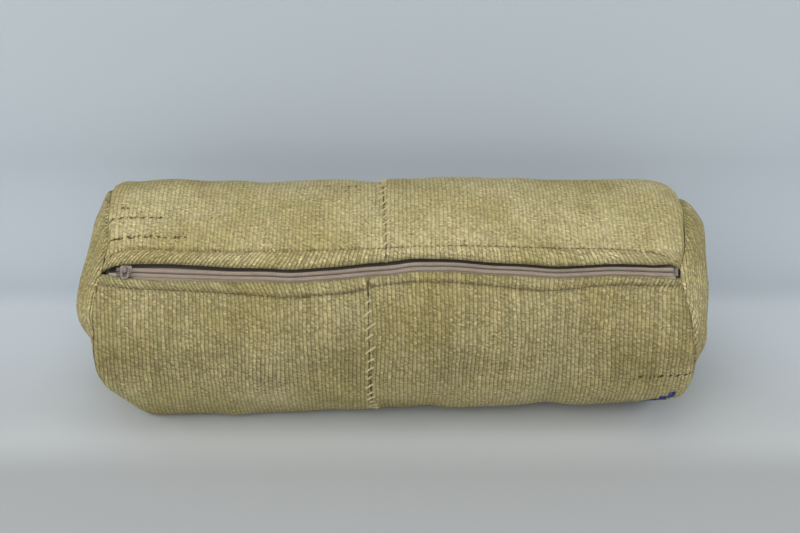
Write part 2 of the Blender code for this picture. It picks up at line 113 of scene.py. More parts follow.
def smoothCurve(points, at, period=None):
    # a smooth curve through a few (place, value) points
    places = np.array([point[0] for point in points], float)
    values = np.array([point[1] for point in points], float)
    if period:
        places = np.concatenate([places - period, places, places + period])
        values = np.tile(values, 3)
    at = np.clip(at, places[0], places[-1])
    slopes = np.gradient(values, places)
    index = np.clip(np.searchsorted(places, at, side="right") - 1, 0, len(places) - 2)
    span = places[index + 1] - places[index]
    t = (at - places[index]) / span
    square, cube = t * t, t * t * t
    result = values[index] * (2 * cube - 3 * square + 1) + values[index + 1] * (3 * square - 2 * cube)
    return result + span * (slopes[index] * (cube - 2 * square + t) + slopes[index + 1] * (cube - square))


def softNoise(a, b, cellA, cellB, seed, around=None):
    # smooth noise from -1 to 1. around: how many cells fit round the girth, so that it closes
    lattice = np.random.RandomState(bolster["seed"] * 101 + seed).uniform(-1, 1, (97, 97))
    a = np.asarray(a, float) / cellA + 20.0
    b = np.asarray(b, float) / cellB + (0.0 if around else 20.0)
    wholeA, wholeB = np.floor(a).astype(int), np.floor(b).astype(int)
    partA, partB = a - wholeA, b - wholeB
    partA, partB = partA**2 * (3 - 2 * partA), partB**2 * (3 - 2 * partB)
    turn = around or 97

    def knot(i, j):
        return lattice[(wholeA + i) % 97, (wholeB + j) % turn]

    near = knot(0, 0) * (1 - partB) + knot(0, 1) * partB
    far = knot(1, 0) * (1 - partB) + knot(1, 1) * partB
    return near * (1 - partA) + far * partA


def bump(distance, width):
    return np.exp(-((distance / width) ** 2))


def ease(value):
    value = np.clip(value, 0.0, 1.0)
    return value * value * (3 - 2 * value)


# the lines that the cover is sewn along
seams = {
    # how far past the plain seam each end seam runs, in mm, by girth coordinate in mm
    "leftEnd": [(0, -7), (10, -8), (30, -10.5), (60, -8), (100, -5), (150, -4), (250, -2),
                (340, -12), (385, -24), (410, -28), (440, -15), (462, -4), (485, -1),
                (505, -1), (530, -1), (545, -5.5)],
    "rightEnd": [(0, -9), (15, -6), (45, -2), (90, 1), (125, 1.5), (160, -1), (280, -3), (370, -6),
                 (410, 0), (450, 4), (480, 3), (510, 0), (532, -4.5), (547, -8)],
    "upperCentre": -0.0045,     # the centre seam at the upper lip and at the lower lip
    "lowerCentre": -0.0172,
    "centreWander": 0.0012,
    "endWander": 0.0007,
}
zipLine = {
    # mm along the bolster, mm up the girth from the slider's straight line
    "wave": [(-215, 0), (-190, 0), (-175, -0.5), (-137, -1.7), (-114, -2.5), (-89, -3.0),
             (-73, -3.9), (-54, -2.8), (-36, -1.4), (-18, 0.4), (4, 2.4), (11, 3.7), (29, 4.5),
             (47, 4.1), (70, 2.2), (94, 1.3), (118, -0.4), (136, 0.4), (154, 1.3), (177, 0.8),
             (190, 0.1), (197, 0), (215, 0)],
    # from the line where the teeth meet up to the upper lip, and down to the lower lip
    "upperOpen": [(-215, 0.6), (-208, 1.0), (-203, 2.6), (-197, 4.4), (-190, 5.3), (-160, 6.9),
                  (-137, 6.4), (-110, 5.6), (-70, 5.3), (-30, 5.2), (0, 5.9), (30, 5.2), (60, 4.7),
                  (100, 4.4), (150, 4.5), (185, 4.8), (203, 4.8), (208, 2.2), (215, 0.4)],
    "lowerOpen": [(-215, 0.4), (-205, 1.6), (-197, 4.2), (-190, 4.9), (-130, 5.2), (-70, 4.7),
                  (0, 4.8), (60, 5.0), (120, 4.9), (165, 4.5), (190, 4.6), (203, 4.6),
                  (208, 1.8), (215, 0.3)],
    # the rows of stitches, mm up and down the girth from the slider's straight line
    "upperStitch": [(-215, 2), (-207, 6), (-200, 12.5), (-192, 16), (-182, 17.4), (-150, 16.3),
                    (-100, 16.2), (-50, 16.8), (0, 17), (60, 18), (120, 17.6), (170, 15.6),
                    (192, 12.6), (204, 8), (215, 3)],
    "lowerStitch": [(-215, -9), (-190, -12), (-160, -13.6), (-137, -14.3), (-100, -16.6),
                    (-78, -18.2), (-50, -16.8), (-24, -14.6), (-12, -11.4), (4, -9.9), (29, -9.6),
                    (70, -11.5), (105, -14.5), (125, -13.4), (149, -11), (177, -10.6),
                    (204, -10.3), (215, -9)],
    "stitchFollows": 0.35,      # how much of the zip's wave the stitches follow
}


def alongZip(name, x):
    points = [(place / 1000, value / 1000) for place, value in zipLine[name]]
    return smoothCurve(points, x)


def endSeam(side, s):
    table = seams["leftEnd" if side < 0 else "rightEnd"]
    points = [(place / 1000, value / 1000) for place, value in table]
    past = smoothCurve(points, np.mod(s, girth), period=girth)
    wander = seams["endWander"] * softNoise(s, 0 * s, girth / 24, 1.0, 40 + side)
    return side * (seamAtEnds + past) + wander


def centreSeam(s):
    share = np.clip(s / girth, 0, 1)
    wander = seams["centreWander"] * softNoise(s, 0 * s, 0.045, 1.0, 3)
    return seams["upperCentre"] + (seams["lowerCentre"] - seams["upperCentre"]) * share + wander


# the soft shape of the stuffed cover
stuffing = {
    # mm in or out at the left end, the middle and the right end, by girth coordinate in mm
    "leftBelly": [(0, 0), (60, 0), (110, -2.0), (200, 0), (300, 1), (370, 8.5), (400, 10.5),
                  (440, 5), (500, 1.5), (540, 0)],
    "middleBelly": [(0, 0), (60, 0.5), (110, 0.8), (200, 1), (300, 0), (370, 1.5), (400, 2.5),
                    (440, 1), (500, 0), (540, 0)],
    "rightBelly": [(0, 0), (60, -0.5), (110, 0), (200, 0), (300, 0), (370, -4), (400, -6.5),
                   (440, -2.5), (500, 0), (540, 0)],
    # fuller and emptier places: mm along, mm round the girth, reach both ways, height
    "places": [(-162, 405, 34, 45, -2.4), (22, 405, 36, 45, -2.2), (141, 405, 42, 45, 3.4),
               (-95, 120, 75, 45, -2.2), (2, 120, 26, 40, -1.4), (142, 120, 42, 45, -2.2),
               (-172, 118, 26, 40, 2.6)],
    "lumps": 0.0011,
    "smallLumps": 0.00045,
    "shoulder": 0.017,          # how far back from the end seam the shoulder starts
    "shoulderDrop": 0.0058,     # and how far it drops
    "corner": 0.120,            # where the rounder top right corner is
    "cornerShoulder": 0.022,
    "cornerDrop": 0.0088,
    "sharpCorner": 0.105,       # where the sharper top left corner is
    "sharpShoulder": 0.006,
    "sharpDrop": 0.0024,
    "puckers": 0.0009,
    "step": 0.0009,             # how far the right strip stands above the left one at their seam
    "cushionGive": 0.0045,      # the most that the simulated cloth may move
}


def bellyLift(x, s):
    ends = []
    for name in ("leftBelly", "middleBelly", "rightBelly"):
        points = [(place / 1000, value / 1000) for place, value in stuffing[name]]
        ends.append(smoothCurve(points, np.mod(s, girth), period=girth))
    share = np.clip((x + 0.2) / 0.4, 0, 1)
    left, middle, right = ease(1 - share * 2), 1 - ease(np.abs(share * 2 - 1)), ease(share * 2 - 1)
    return ends[0] * left + ends[1] * middle + ends[2] * right


def lipEdges(x):
    wave = alongZip("wave", x)
    return wave + alongZip("upperOpen", x), girth + wave - alongZip("lowerOpen", x)


def seamDistance(x, s):
    # how far a point is from the nearer end seam
    left = x - endSeam(-1, s)
    right = endSeam(1, s) - x
    return np.minimum(left, right), left < right


def softLift(x, s):
    # everything about the cover's surface that is larger than its weave
    lift = bellyLift(x, s)
    for along, around, reachX, reachS, height in stuffing["places"]:
        spread = bump(x - along / 1000, reachX / 1000) * bump(s - around / 1000, reachS / 1000)
        lift = lift + height / 1000 * spread
    lift = lift + stuffing["lumps"] * softNoise(x, s, 0.06, girth / 9, 5, 9)
    toMiddle = x - centreSeam(np.mod(s, girth))
    higher = np.tanh(toMiddle / 0.003) * np.exp(-np.abs(toMiddle) / 0.05)
    lift = lift + stuffing["step"] * higher * bump(s - 0.1, 0.08)
    lift = lift + stuffing["smallLumps"] * softNoise(x, s, 0.023, girth / 24, 6, 24)
    toEnd, atLeft = seamDistance(x, s)
    corner = bump(np.mod(s, girth) - stuffing["corner"], 0.075) * (1 - atLeft)
    sharp = bump(np.mod(s, girth) - stuffing["sharpCorner"], 0.05) * atLeft
    reach = stuffing["shoulder"] + stuffing["cornerShoulder"] * corner - stuffing["sharpShoulder"] * sharp
    within = np.clip(1 - toEnd / reach, 0, 1)
    drop = stuffing["shoulderDrop"] + stuffing["cornerDrop"] * corner - stuffing["sharpDrop"] * sharp
    lift = lift - drop * (1 - np.sqrt(np.clip(1 - within**2.2, 0, 1)))
    rippleRight = softNoise(s, x * 0, girth / 52, 1.0, 21) + 0.6 * softNoise(s, x * 0, girth / 90, 1.0, 22)
    rippleLeft = softNoise(s, x * 0, girth / 47, 1.0, 25)
    ripple = np.where(atLeft, rippleLeft, rippleRight)
    lift = lift + stuffing["puckers"] * ripple * bump(toEnd - 0.006, 0.009)
    return lift


seamGroove = 0.0018  # how deep the cloth is pulled in at the end seams


def seamPoint(side, s, out=0.0, lift=0.0):
    # a point of the end seam, moved out past the seam and up from it
    seam = endSeam(side, s)
    return coverPoint(seam + side * out, s, softLift(seam, s) - seamGroove + lift)


lips = {
    "upperRoll": 0.0021,
    "lowerRoll": 0.0010,
    "upperGroove": 0.0034,
    "lowerGroove": 0.0020,
    "beyond": 0.0008,
}


def zipLift(x, s):
    # the folded lips: a soft roll between the edge and the stitches, and the groove that the stitches pull
    upperEdge, lowerEdge = lipEdges(x)
    wave = alongZip("wave", x) * zipLine["stitchFollows"]
    upperStitch = alongZip("upperStitch", x) + wave
    lowerStitch = girth + alongZip("lowerStitch", x) + wave
    upperFirm = 0.45 + 0.55 * ease((0.02 - x) / 0.09)
    lift = 0.0 * x * s
    for edge, stitch, sign, firm, rollHeight, groove in (
            (upperEdge, upperStitch, 1, upperFirm, lips["upperRoll"], lips["upperGroove"]),
            (lowerEdge, lowerStitch, -1, 0.8, lips["lowerRoll"], lips["lowerGroove"])):
        inward = sign * (s - edge)
        width = np.maximum(sign * (stitch - edge), 0.002)
        roll = np.clip(np.sin(np.pi * np.clip(inward / width, 0, 1)), 0, 1) ** 0.75 * ease(width / 0.008)
        past = sign * (s - stitch)
        lift = lift + rollHeight * roll * (0.6 + 0.4 * firm)
        lift = lift - groove * firm * bump(past, 0.0010)
        lift = lift - lips["beyond"] * bump(past, 0.006) * (past > 0)
    return lift


centreStitch = {
    "pitch": 0.0074,
    "slit": 0.00008,
    "open": 0.0007,
    "roll": 0.0005,
    "groove": 0.0014,
    "dish": 0.0005,
}


def centreGap(s):
    # half the width of the slit between the two strips
    phase = np.sin(np.pi * s / centreStitch["pitch"]) ** 2
    loose = 0.5 + 0.5 * softNoise(s, 0 * s, 0.02, 1.0, 31)
    return centreStitch["slit"] + centreStitch["open"] * phase * loose


def centreLift(distance, s):
    # each strip's edge rolls up a little and then dives at the seam, less where a stitch holds it
    uneven = 0.7 + 0.3 * softNoise(s, 0 * s, 0.011, 1.0, 33)
    between = 0.3 + 0.7 * np.sin(np.pi * s / centreStitch["pitch"]) ** 2
    rise = centreStitch["roll"] * bump(distance - 0.0032, 0.0022) * uneven
    groove = centreStitch["groove"] * between * bump(distance, 0.0014)
    return rise - groove - centreStitch["dish"] * bump(distance, 0.006)


# the weave: width and height of a rib, and length of a pick
weave = {
    "rib": 0.00285,
    "ribHeight": 0.00034,
    "pick": 0.0015,
    # how far the ribs lean on the folded lips, along the bolster
    "lean": [(-0.215, 1.15), (-0.12, 0.95), (-0.05, 0.4), (0.05, -0.1), (0.14, -0.35), (0.2, -1.0)],
}


def weavePlace(x, s):
    # cloth coordinates: ribs run round the girth, lean on the lips and wander a little
    upperEdge, lowerEdge = lipEdges(x)
    lean = smoothCurve(weave["lean"], x)
    onUpper = np.clip(upperEdge + 0.0115 - s, 0, 0.03)
    onLower = np.clip(s - lowerEdge + 0.0095, 0, 0.03)
    u = x + lean * onUpper + 0.6 * lean * onLower
    u = u + 0.0012 * softNoise(x, s, 0.03, girth / 12, 51, 12)
    u = u + 0.0003 * softNoise(x, s, 0.009, girth / 70, 52, 70)
    v = s + 0.0015 * softNoise(x, s, 0.05, girth / 10, 53, 10)
    return u, v


def ribLift(u, v):
    beat = 0.72 + 0.28 * softNoise(u, v, 0.006, 0.011, 55)
    return weave["ribHeight"] * (np.abs(np.sin(np.pi * u / weave["rib"])) ** 0.75 - 0.5) * beat


def gridMesh(name, points, weaveUv):
    # a sheet of quads from an array of rows and columns of points
    rows, columns = points.shape[:2]
    mesh = bpy.data.meshes.new(name)
    mesh.vertices.add(rows * columns)
    mesh.vertices.foreach_set("co", points.reshape(-1, 3).astype(np.float32).ravel())
    index = np.arange(rows * columns).reshape(rows, columns)
    quads = np.stack([index[:-1, :-1], index[:-1, 1:], index[1:, 1:], index[1:, :-1]], axis=-1)
    quads = quads.reshape(-1, 4)
    mesh.loops.add(quads.size)
    mesh.loops.foreach_set("vertex_index", quads.ravel().astype(np.int32))
    mesh.polygons.add(len(quads))
    mesh.polygons.foreach_set("loop_start", np.arange(0, quads.size, 4, dtype=np.int32))
    mesh.polygons.foreach_set("use_smooth", np.ones(len(quads), dtype=bool))
    mesh.update(calc_edges=True)
    rowPlaces, columnPlaces = np.linspace(0.01, 0.99, rows), np.linspace(0.01, 0.99, columns)
    spreadRow, spreadColumn = np.meshgrid(rowPlaces, columnPlaces, indexing="ij")
    spread = np.stack([spreadColumn, spreadRow], axis=-1)
    for layerName, source in (("OFBake", spread), ("weave", weaveUv)):
        corners = np.stack([source[:-1, :-1], source[:-1, 1:], source[1:, 1:], source[1:, :-1]], axis=-2)
        layer = mesh.uv_layers.new(name=layerName)
        layer.data.foreach_set("uv", corners.reshape(-1, 2).astype(np.float32).ravel())
    made = bpy.data.objects.new(name, mesh)
    bpy.context.scene.collection.objects.link(made)
    return made


def tubeMesh(name, paths, radius, sides=6):
    # round strands through lists of points, all in one mesh
    vertices, faces = [], []
    turns = np.linspace(0, 2 * math.pi, sides, endpoint=False)
    for path in paths:
        path = np.asarray(path, float)
        along = np.gradient(path, axis=0)
        along /= np.linalg.norm(along, axis=1, keepdims=True) + 1e-12
        outward = path - np.array([0, 0, axisHeight])
        outward[:, 0] = 0
        outward -= (outward * along).sum(1, keepdims=True) * along
        outward /= np.linalg.norm(outward, axis=1, keepdims=True) + 1e-12
        across = np.cross(along, outward)
        base = len(vertices)
        taper = np.ones(len(path))
        taper[0] = taper[-1] = 0.35
        for spot, out, side, size in zip(path, outward, across, taper):
            for turn in turns:
                offset = out * math.cos(turn) + side * math.sin(turn)
                vertices.append(spot + offset * radius * size)
        for ring in range(len(path) - 1):
            for k in range(sides):
                a, b = base + ring * sides + k, base + ring * sides + (k + 1) % sides
                faces.append((a, b, b + sides, a + sides))
        faces.append(tuple(base + k for k in reversed(range(sides))))
        last = base + (len(path) - 1) * sides
        faces.append(tuple(last + k for k in range(sides)))
    mesh = bpy.data.meshes.new(name)
    mesh.from_pydata([tuple(vertex) for vertex in vertices], [], faces)
    mesh.polygons.foreach_set("use_smooth", np.ones(len(faces), dtype=bool))
    made = bpy.data.objects.new(name, mesh)
    bpy.context.scene.collection.objects.link(made)
    return made


def dress(piece, look, body, slotName, *nodes):
    piece.data.materials.append(look)
    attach(piece, body)
    if nodes:
        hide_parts(*nodes)
    return piece


class Wire:
    # a shader socket that can be added, multiplied and so on
    def __init__(self, graph, socket):
        self.graph = graph
        self.socket = socket

    def math(self, operation, *others):
        return self.graph.node("ShaderNodeMath", {"operation": operation}, (self, *others))

    def __add__(self, other):
        return self.math("ADD", other)

    __radd__ = __add__

    def __mul__(self, other):
        return self.math("MULTIPLY", other)

    __rmul__ = __mul__

    def __sub__(self, other):
        return self.math("SUBTRACT", other)

    def __rsub__(self, other):
        return self.graph.node("ShaderNodeMath", {"operation": "SUBTRACT"}, (other, self))

    def __truediv__(self, other):
        return self.math("DIVIDE", other)

    def __pow__(self, other):
        return self.math("POWER", other)

    def above(self, low, high):
        # 0 below low, 1 above high, smooth between them
        values = {"Value": self, "From Min": low, "From Max": high}
        return self.graph.node("ShaderNodeMapRange", {"interpolation_type": "SMOOTHSTEP"}, values)

    def near(self, place, width, soft):
        # 1 within width of a place, 0 further off
        return 1 - (self - place).math("ABSOLUTE").above(width, width + soft)


class Graph:
    # one material and its nodes
    def __init__(self, name):
        self.material = bpy.data.materials.new(name)
        self.material.use_nodes = True
        self.tree = self.material.node_tree
        self.shader = self.tree.nodes["Principled BSDF"]

    def node(self, kind, settings=None, values=(), output=0):
        made = self.tree.nodes.new(kind)
        for key, value in (settings or {}).items():
            setattr(made, key, value)
        pairs = values.items() if isinstance(values, dict) else enumerate(values)
        for key, value in pairs:
            self.feed(made.inputs[key], value)
        return Wire(self, made.outputs[output])

    def feed(self, socket, value):
        if isinstance(value, Wire):
            self.tree.links.new(value.socket, socket)
        elif isinstance(value, tuple) and socket.type == "RGBA":
            socket.default_value = (*value[:3], 1.0)
        else:
            socket.default_value = value

    def axis(self, vector, output):
        return self.node("ShaderNodeSeparateXYZ", {}, (vector,), output)

    def noise(self, vector, scale, detail=2.0, output=0, rough=0.5):
        values = {"Vector": vector, "Scale": scale, "Detail": detail, "Roughness": rough}
        return self.node("ShaderNodeTexNoise", {}, values, output)

    def random(self, a, b):
        place = self.node("ShaderNodeCombineXYZ", {}, (a, b, 0.0))
        return self.node("ShaderNodeTexWhiteNoise", {"noise_dimensions": "2D"}, {"Vector": place})

    def mix(self, factor, first, second):
        return self.node("ShaderNodeMix", {"data_type": "RGBA"}, {0: factor, 6: first, 7: second}, 2)

    def scaled(self, colour, amount):
        return self.node("ShaderNodeVectorMath", {"operation": "SCALE"}, {0: colour, "Scale": amount})

    def moved(self, vector, noise, amount):
        # the vector pushed about by a colour noise
        centred = self.node("ShaderNodeVectorMath", {"operation": "SUBTRACT"}, (noise, (0.5, 0.5, 0.5)))
        push = self.scaled(centred, amount)
        return self.node("ShaderNodeVectorMath", {"operation": "ADD"}, (vector, push))

    def finish(self, colour, roughness, specular, height=None, distance=0.0005, sheen=0.0):
        self.feed(self.shader.inputs["Base Color"], colour)
        self.feed(self.shader.inputs["Roughness"], roughness)
        self.feed(self.shader.inputs["Specular IOR Level"], specular)
        self.feed(self.shader.inputs["Sheen Weight"], sheen)
        if height is not None:
            values = {"Height": height, "Distance": distance, "Strength": 1.0}
            self.feed(self.shader.inputs["Normal"], self.node("ShaderNodeBump", {}, values))
        return self.material


# the woven cloth
kilimLook = {
    "pale": (0.52, 0.455, 0.250),
    "deep": (0.400, 0.342, 0.150),
    "brown": (0.45, 0.365, 0.195),
    "green": (0.395, 0.378, 0.180),
    # gap: the dark painted into the weave's grooves and pits, painted shade
    "gap": (0.135, 0.108, 0.036),
    "bumpHeight": 0.0016,
    # slit: near black painted into the open slits, painted shade from the dark inside them
    "slit": (0.06, 0.045, 0.012),
    "blue": (0.022, 0.048, 0.25),
    "speck": (0.20, 0.25, 0.27),
    # rows of open slits in the weave: middle, half length and girth coordinate, all in mm
    "slitRows": [(-193, 6, 54), (-187, 21, 45), (-177, 28, 27), (-56, 10, 88), (-30, 6, 87),
                 (197, 20, 471)],
    "endSlitRows": [(58, 7, 31), (40, 6, 12)],
}


def kilimCloth(name, look, isEnd=False):
    graph = Graph(name)
    flat = graph.node("ShaderNodeUVMap", {"uv_map": "weave"})
    place = graph.moved(flat, graph.noise(flat, 190.0, 2.0, 1), 0.0012)
    place = graph.moved(place, graph.noise(flat, 700.0, 1.0, 1), 0.0010)
    u, v = graph.axis(place, 0), graph.axis(place, 1)
    ribs = u / weave["rib"]
    ribCell = ribs.math("FLOOR")
    inRib = ribs - ribCell
    odd = ribCell.math("FLOORED_MODULO", 2.0)
    picks = v / weave["pick"] + 0.5 * odd + (inRib - 0.5) * (0.9 + 0.3 * odd)
    pickCell = picks.math("FLOOR")
    inPick = picks - pickCell
    ribShape = (inRib * math.pi).math("SINE") ** 0.6
    pickShape = (inPick * math.pi).math("SINE") ** 0.6
    tone = graph.random(ribCell, pickCell)
    strand = graph.noise(flat, 1500.0, 3.0)

    # some patches of the cloth are beaten smooth and others are coarse, with pits and loops
    coarse = graph.noise(flat, 80.0, 3.0).above(0.34, 0.60)
    grainPlace = graph.node("ShaderNodeCombineXYZ", {}, (u * 400.0, v * 640.0, 0.0))
    grain = graph.noise(grainPlace, 1.0, 2.0, rough=0.6)
    # the front face and the lips are coarser than the top, and so are the ends; there the random tone is
    # stronger and the painted shade in the grooves is darker
    rough = 1.4 if isEnd else v.above(0.445, 0.475).math("MAXIMUM", 1 - v.above(0.013, 0.021))
    gap = 1 - ribShape.above(0.28, 0.68)
    pit = (grain + 0.008 * rough).above(0.54, 0.62) * (0.40 + 0.60 * coarse) * (0.55 + 0.45 * gap)
    loop = (1 - grain.above(0.37, 0.46)) * (0.45 + 0.55 * coarse)
    between = (1 - pickShape.above(0.20, 0.70)) * (0.3 + 0.7 * coarse)
    height = ribShape * (0.6 + 0.4 * pickShape) * (0.85 - 0.45 * pit + 0.4 * loop) + 0.2 * strand

    # every rib has its own shade, which drifts along it
    ribPlace = graph.node("ShaderNodeCombineXYZ", {}, (ribCell * 3.7, v * 55.0, 0.0))
    ribShade = graph.noise(ribPlace, 1.0, 2.0)
    ribTone = graph.random(ribCell, 3.0)
    wide = graph.noise(flat, 15.0, 3.0)
    middle = graph.noise(flat, 48.0, 2.0)
    colour = graph.mix(wide.above(0.34, 0.68), look["pale"], look["deep"])
    colour = graph.mix(0.5 * middle.above(0.48, 0.72), colour, look["brown"])
    colour = graph.mix(0.45 * ribShade.above(0.50, 0.72), colour, look["green"])
    colour = graph.mix(0.45 * (1 - ribShade.above(0.30, 0.46)), colour, look["brown"])
    light = 1.01 + (0.38 + 0.12 * rough) * (tone - 0.5)
    # raised loops are painted lighter: a painted highlight on their tops
    light = light * (0.90 + 0.2 * strand) * (1 + 0.5 * loop)
    if not isEnd:
        # the front is painted darker than the top and the turn underneath a little lighter, painted shade
        # and painted light; the front is also mixed a little deeper in colour
        paintedFrontShading = v.above(0.452, 0.492) - 0.5 * (1 - v.above(0.44, 0.485)) * v.above(0.36, 0.38)
        light = light * (1 - 0.20 * paintedFrontShading)
        colour = graph.mix(0.25 * v.above(0.44, 0.49), colour, look["deep"])
    light = light * (1 + 0.20 * rough * (ribTone - 0.5))
    colour = graph.scaled(colour, light)
    # the grooves between ribs and between picks and the pits are painted towards the gap colour: painted
    # shade in the weave's hollows
    shade = ((0.32 + 0.36 * rough) * gap).math("MAXIMUM", (0.36 + 0.18 * rough) * between)
    shade = shade.math("MAXIMUM", 0.95 * pit)
    colour = graph.mix(shade, colour, look["gap"])

    slits = None
    for middleU, half, s in look["endSlitRows"] if isEnd else look["slitRows"]:
        row = v + 0.0042 * (graph.noise(flat, 90.0, 1.0) - 0.5)
        band = row.near(s / 1000, 0.0009, 0.0006) * u.near(middleU / 1000, half / 1000, 0.002)
        slits = band if slits is None else slits.math("MAXIMUM", band)
    slits = slits * graph.noise(flat, 330.0, 3.0).above(0.50, 0.56)
    # the open slits are painted near black: painted shade where the cloth opens onto the dark inside
    colour = graph.mix(0.88 * slits, colour, look["slit"])
    if not isEnd:
        blocks, specks = motifMask(graph, u, v)
        specks = 0.55 * specks * graph.noise(flat, 500.0, 1.0).above(0.42, 0.55)
        colour = graph.mix(specks, colour, look["speck"])
        colour = graph.mix(0.94 * blocks, colour, graph.scaled(look["blue"], 0.5 + 0.9 * tone))
    height = height - 0.9 * slits
    return graph.finish(colour, 0.95, 0.12, height, look["bumpHeight"])


motif = {
    "step": 0.0062,             # side of one block
    "size": 7.0,                # blocks from the middle of a lozenge to its corner
    "middleU": 0.2146,
    "middleV": 0.405,
    "apart": 0.1054,
    "hiddenTo": 0.38,           # whole lozenges only below this girth coordinate
}


def motifMask(graph, u, v):
    # stepped lozenges on the hidden side of the strips, with only the edge of one in sight at the right
    half = motif["apart"] / 2
    along = (u - motif["middleU"] + half).math("FLOORED_MODULO", motif["apart"]) - half
    column = (along.math("ABSOLUTE") / motif["step"]).math("FLOOR")
    row = ((v - motif["middleV"]).math("ABSOLUTE") / motif["step"]).math("FLOOR")
    far = column + row
    inside = 1 - far.above(motif["size"] + 0.4, motif["size"] + 0.5)
    ring = far.near(motif["size"] - 2.5, 0.6, 0.1)
    atCorner = u.above(0.1750, 0.1755) * (1 - u.above(0.2072, 0.2077))
    wanted = (1 - v.above(motif["hiddenTo"], motif["hiddenTo"] + 0.0005)).math("MAXIMUM", atCorner)
    specks = u.above(0.157, 0.160) * (1 - u.above(0.188, 0.190)) * v.near(0.4265, 0.0045, 0.002)
    worn = graph.noise(graph.node("ShaderNodeCombineXYZ", {}, (u, v, 0.0)), 420.0, 2.0).above(0.40, 0.46)
    blocks = inside * (1 - ring) * wanted * (0.75 + 0.25 * worn) * v.above(0.30, 0.301)
    return blocks, specks


straw = kilimCloth("kilimStraw", kilimLook)
strawEnds = kilimCloth("kilimEnds", kilimLook, isEnd=True)


# the cloth run that blows up the stuffed cover
simulated = {}
clothRun = {
    "columns": 74,
    "rows": 96,
    "pressure": 2.2,
    "frames": 16,
    "mass": 0.35,
    "smaller": 0.0016,          # the cloth starts this far inside its place
    "share": 0.45,              # how much of its movement is kept
}


def simulateCover():
    # a coarse tube of cloth, held at the lips and seams, is blown up by the stuffing
    us = np.linspace(0, 1, clothRun["columns"])
    ss = np.linspace(0.012, girth - 0.010, clothRun["rows"])
    gridS, gridU = np.meshgrid(ss, us, indexing="ij")
    left, right = endSeam(-1, gridS), endSeam(1, gridS)
    x = left + (right - left) * gridU
    lift = softLift(x, gridS) - clothRun["smaller"]
    rest = coverPoint(x, gridS, lift)
    piece = gridMesh("coverTrial", rest, np.stack([x, gridS], axis=-1))
    held = piece.vertex_groups.new(name="held")
    toCentre = np.abs(x - centreSeam(gridS))
    edge = np.zeros(x.shape)
    edge[0, :] = edge[-1, :] = edge[:, 0] = edge[:, -1] = 1.0
    edge[1, :] = edge[-2, :] = 0.8
    edge = np.maximum(edge, np.where(toCentre < 0.004, 0.75, 0.0))
    edge = np.maximum(edge, np.where(rest[..., 2] < 0.004, 1.0, 0.0))
    for index, weight in enumerate(edge.ravel()):
        if weight > 0:
            held.add([index], float(weight), "REPLACE")
    cloth = piece.modifiers.new("cloth", "CLOTH")
    cloth.settings.vertex_group_mass = "held"
    cloth.settings.use_pressure = True
    cloth.settings.uniform_pressure_force = clothRun["pressure"]
    cloth.settings.mass = clothRun["mass"]
    cloth.settings.tension_stiffness = 25
    cloth.settings.compression_stiffness = 20
    cloth.settings.shear_stiffness = 8
    cloth.settings.bending_stiffness = 4.0
    cloth.settings.air_damping = 5.0
    cloth.settings.shrink_min = -0.025
    cloth.settings.effector_weights.gravity = 0.0
    cloth.point_cache.frame_start = 1
    cloth.point_cache.frame_end = clothRun["frames"]
    for number in range(1, clothRun["frames"] + 1):
        bpy.context.scene.frame_set(number)
    seen = piece.evaluated_get(bpy.context.evaluated_depsgraph_get())
    moved = np.zeros(rest.size, np.float32)
    seen.data.vertices.foreach_get("co", moved)
    shift = moved.reshape(rest.shape) - rest
    _, normal = sectionAt(gridS)
    outward = shift[..., 1] * normal[..., 0] + shift[..., 2] * normal[..., 1]
    cap = stuffing["cushionGive"]
    calm = np.clip(outward - np.median(outward), -cap, cap)
    for _ in range(2):
        # neighbours are averaged, so that no fold of the coarse cloth is left
        padded = np.pad(calm, 1, mode="edge")
        calm = (padded[:-2, 1:-1] + padded[2:, 1:-1] + padded[1:-1, :-2] + padded[1:-1, 2:] + 2 * calm) / 6
    simulated["lift"] = calm * (1 - edge) * clothRun["share"]
    simulated["us"], simulated["ss"] = us, ss
    bpy.data.objects.remove(piece, do_unlink=True)
    bpy.context.scene.frame_set(1)
    least, most = float(outward.min()) * 1000, float(outward.max()) * 1000
    print("cloth run: moved", round(least, 2), "to", round(most, 2), "mm")


def simulatedLift(x, s):
    # the simulated cloth's movement at any point of the cover
    if not simulated:
        return 0.0 * x * s
    left, right = endSeam(-1, s), endSeam(1, s)
    u = np.clip((x - left) / (right - left), 0, 1) * (len(simulated["us"]) - 1)
    ss = simulated["ss"]
    w = np.clip((s - ss[0]) / (ss[-1] - ss[0]), 0, 1) * (len(ss) - 1)
    i = np.minimum(w.astype(int), len(ss) - 2)
    j = np.minimum(u.astype(int), len(simulated["us"]) - 2)
    a, b = ease(w - i), ease(u - j)
    table = simulated["lift"]
    near = table[i, j] * (1 - b) + table[i, j + 1] * b
    far = table[i + 1, j] * (1 - b) + table[i + 1, j + 1] * b
    return near * (1 - a) + far * a


simulateCover()


# the two woven strips
strips = {
    "column": 0.00074,          # spacing of the mesh along the bolster
    "row": 0.0023,              # round the girth
    "lipRow": 0.0007,           # and near the zip
    "lip": 0.028,
    "fold": 0.0027,
    "hem": 0.011,
    "allowance": 0.009,
    "centreRoll": 4,
}


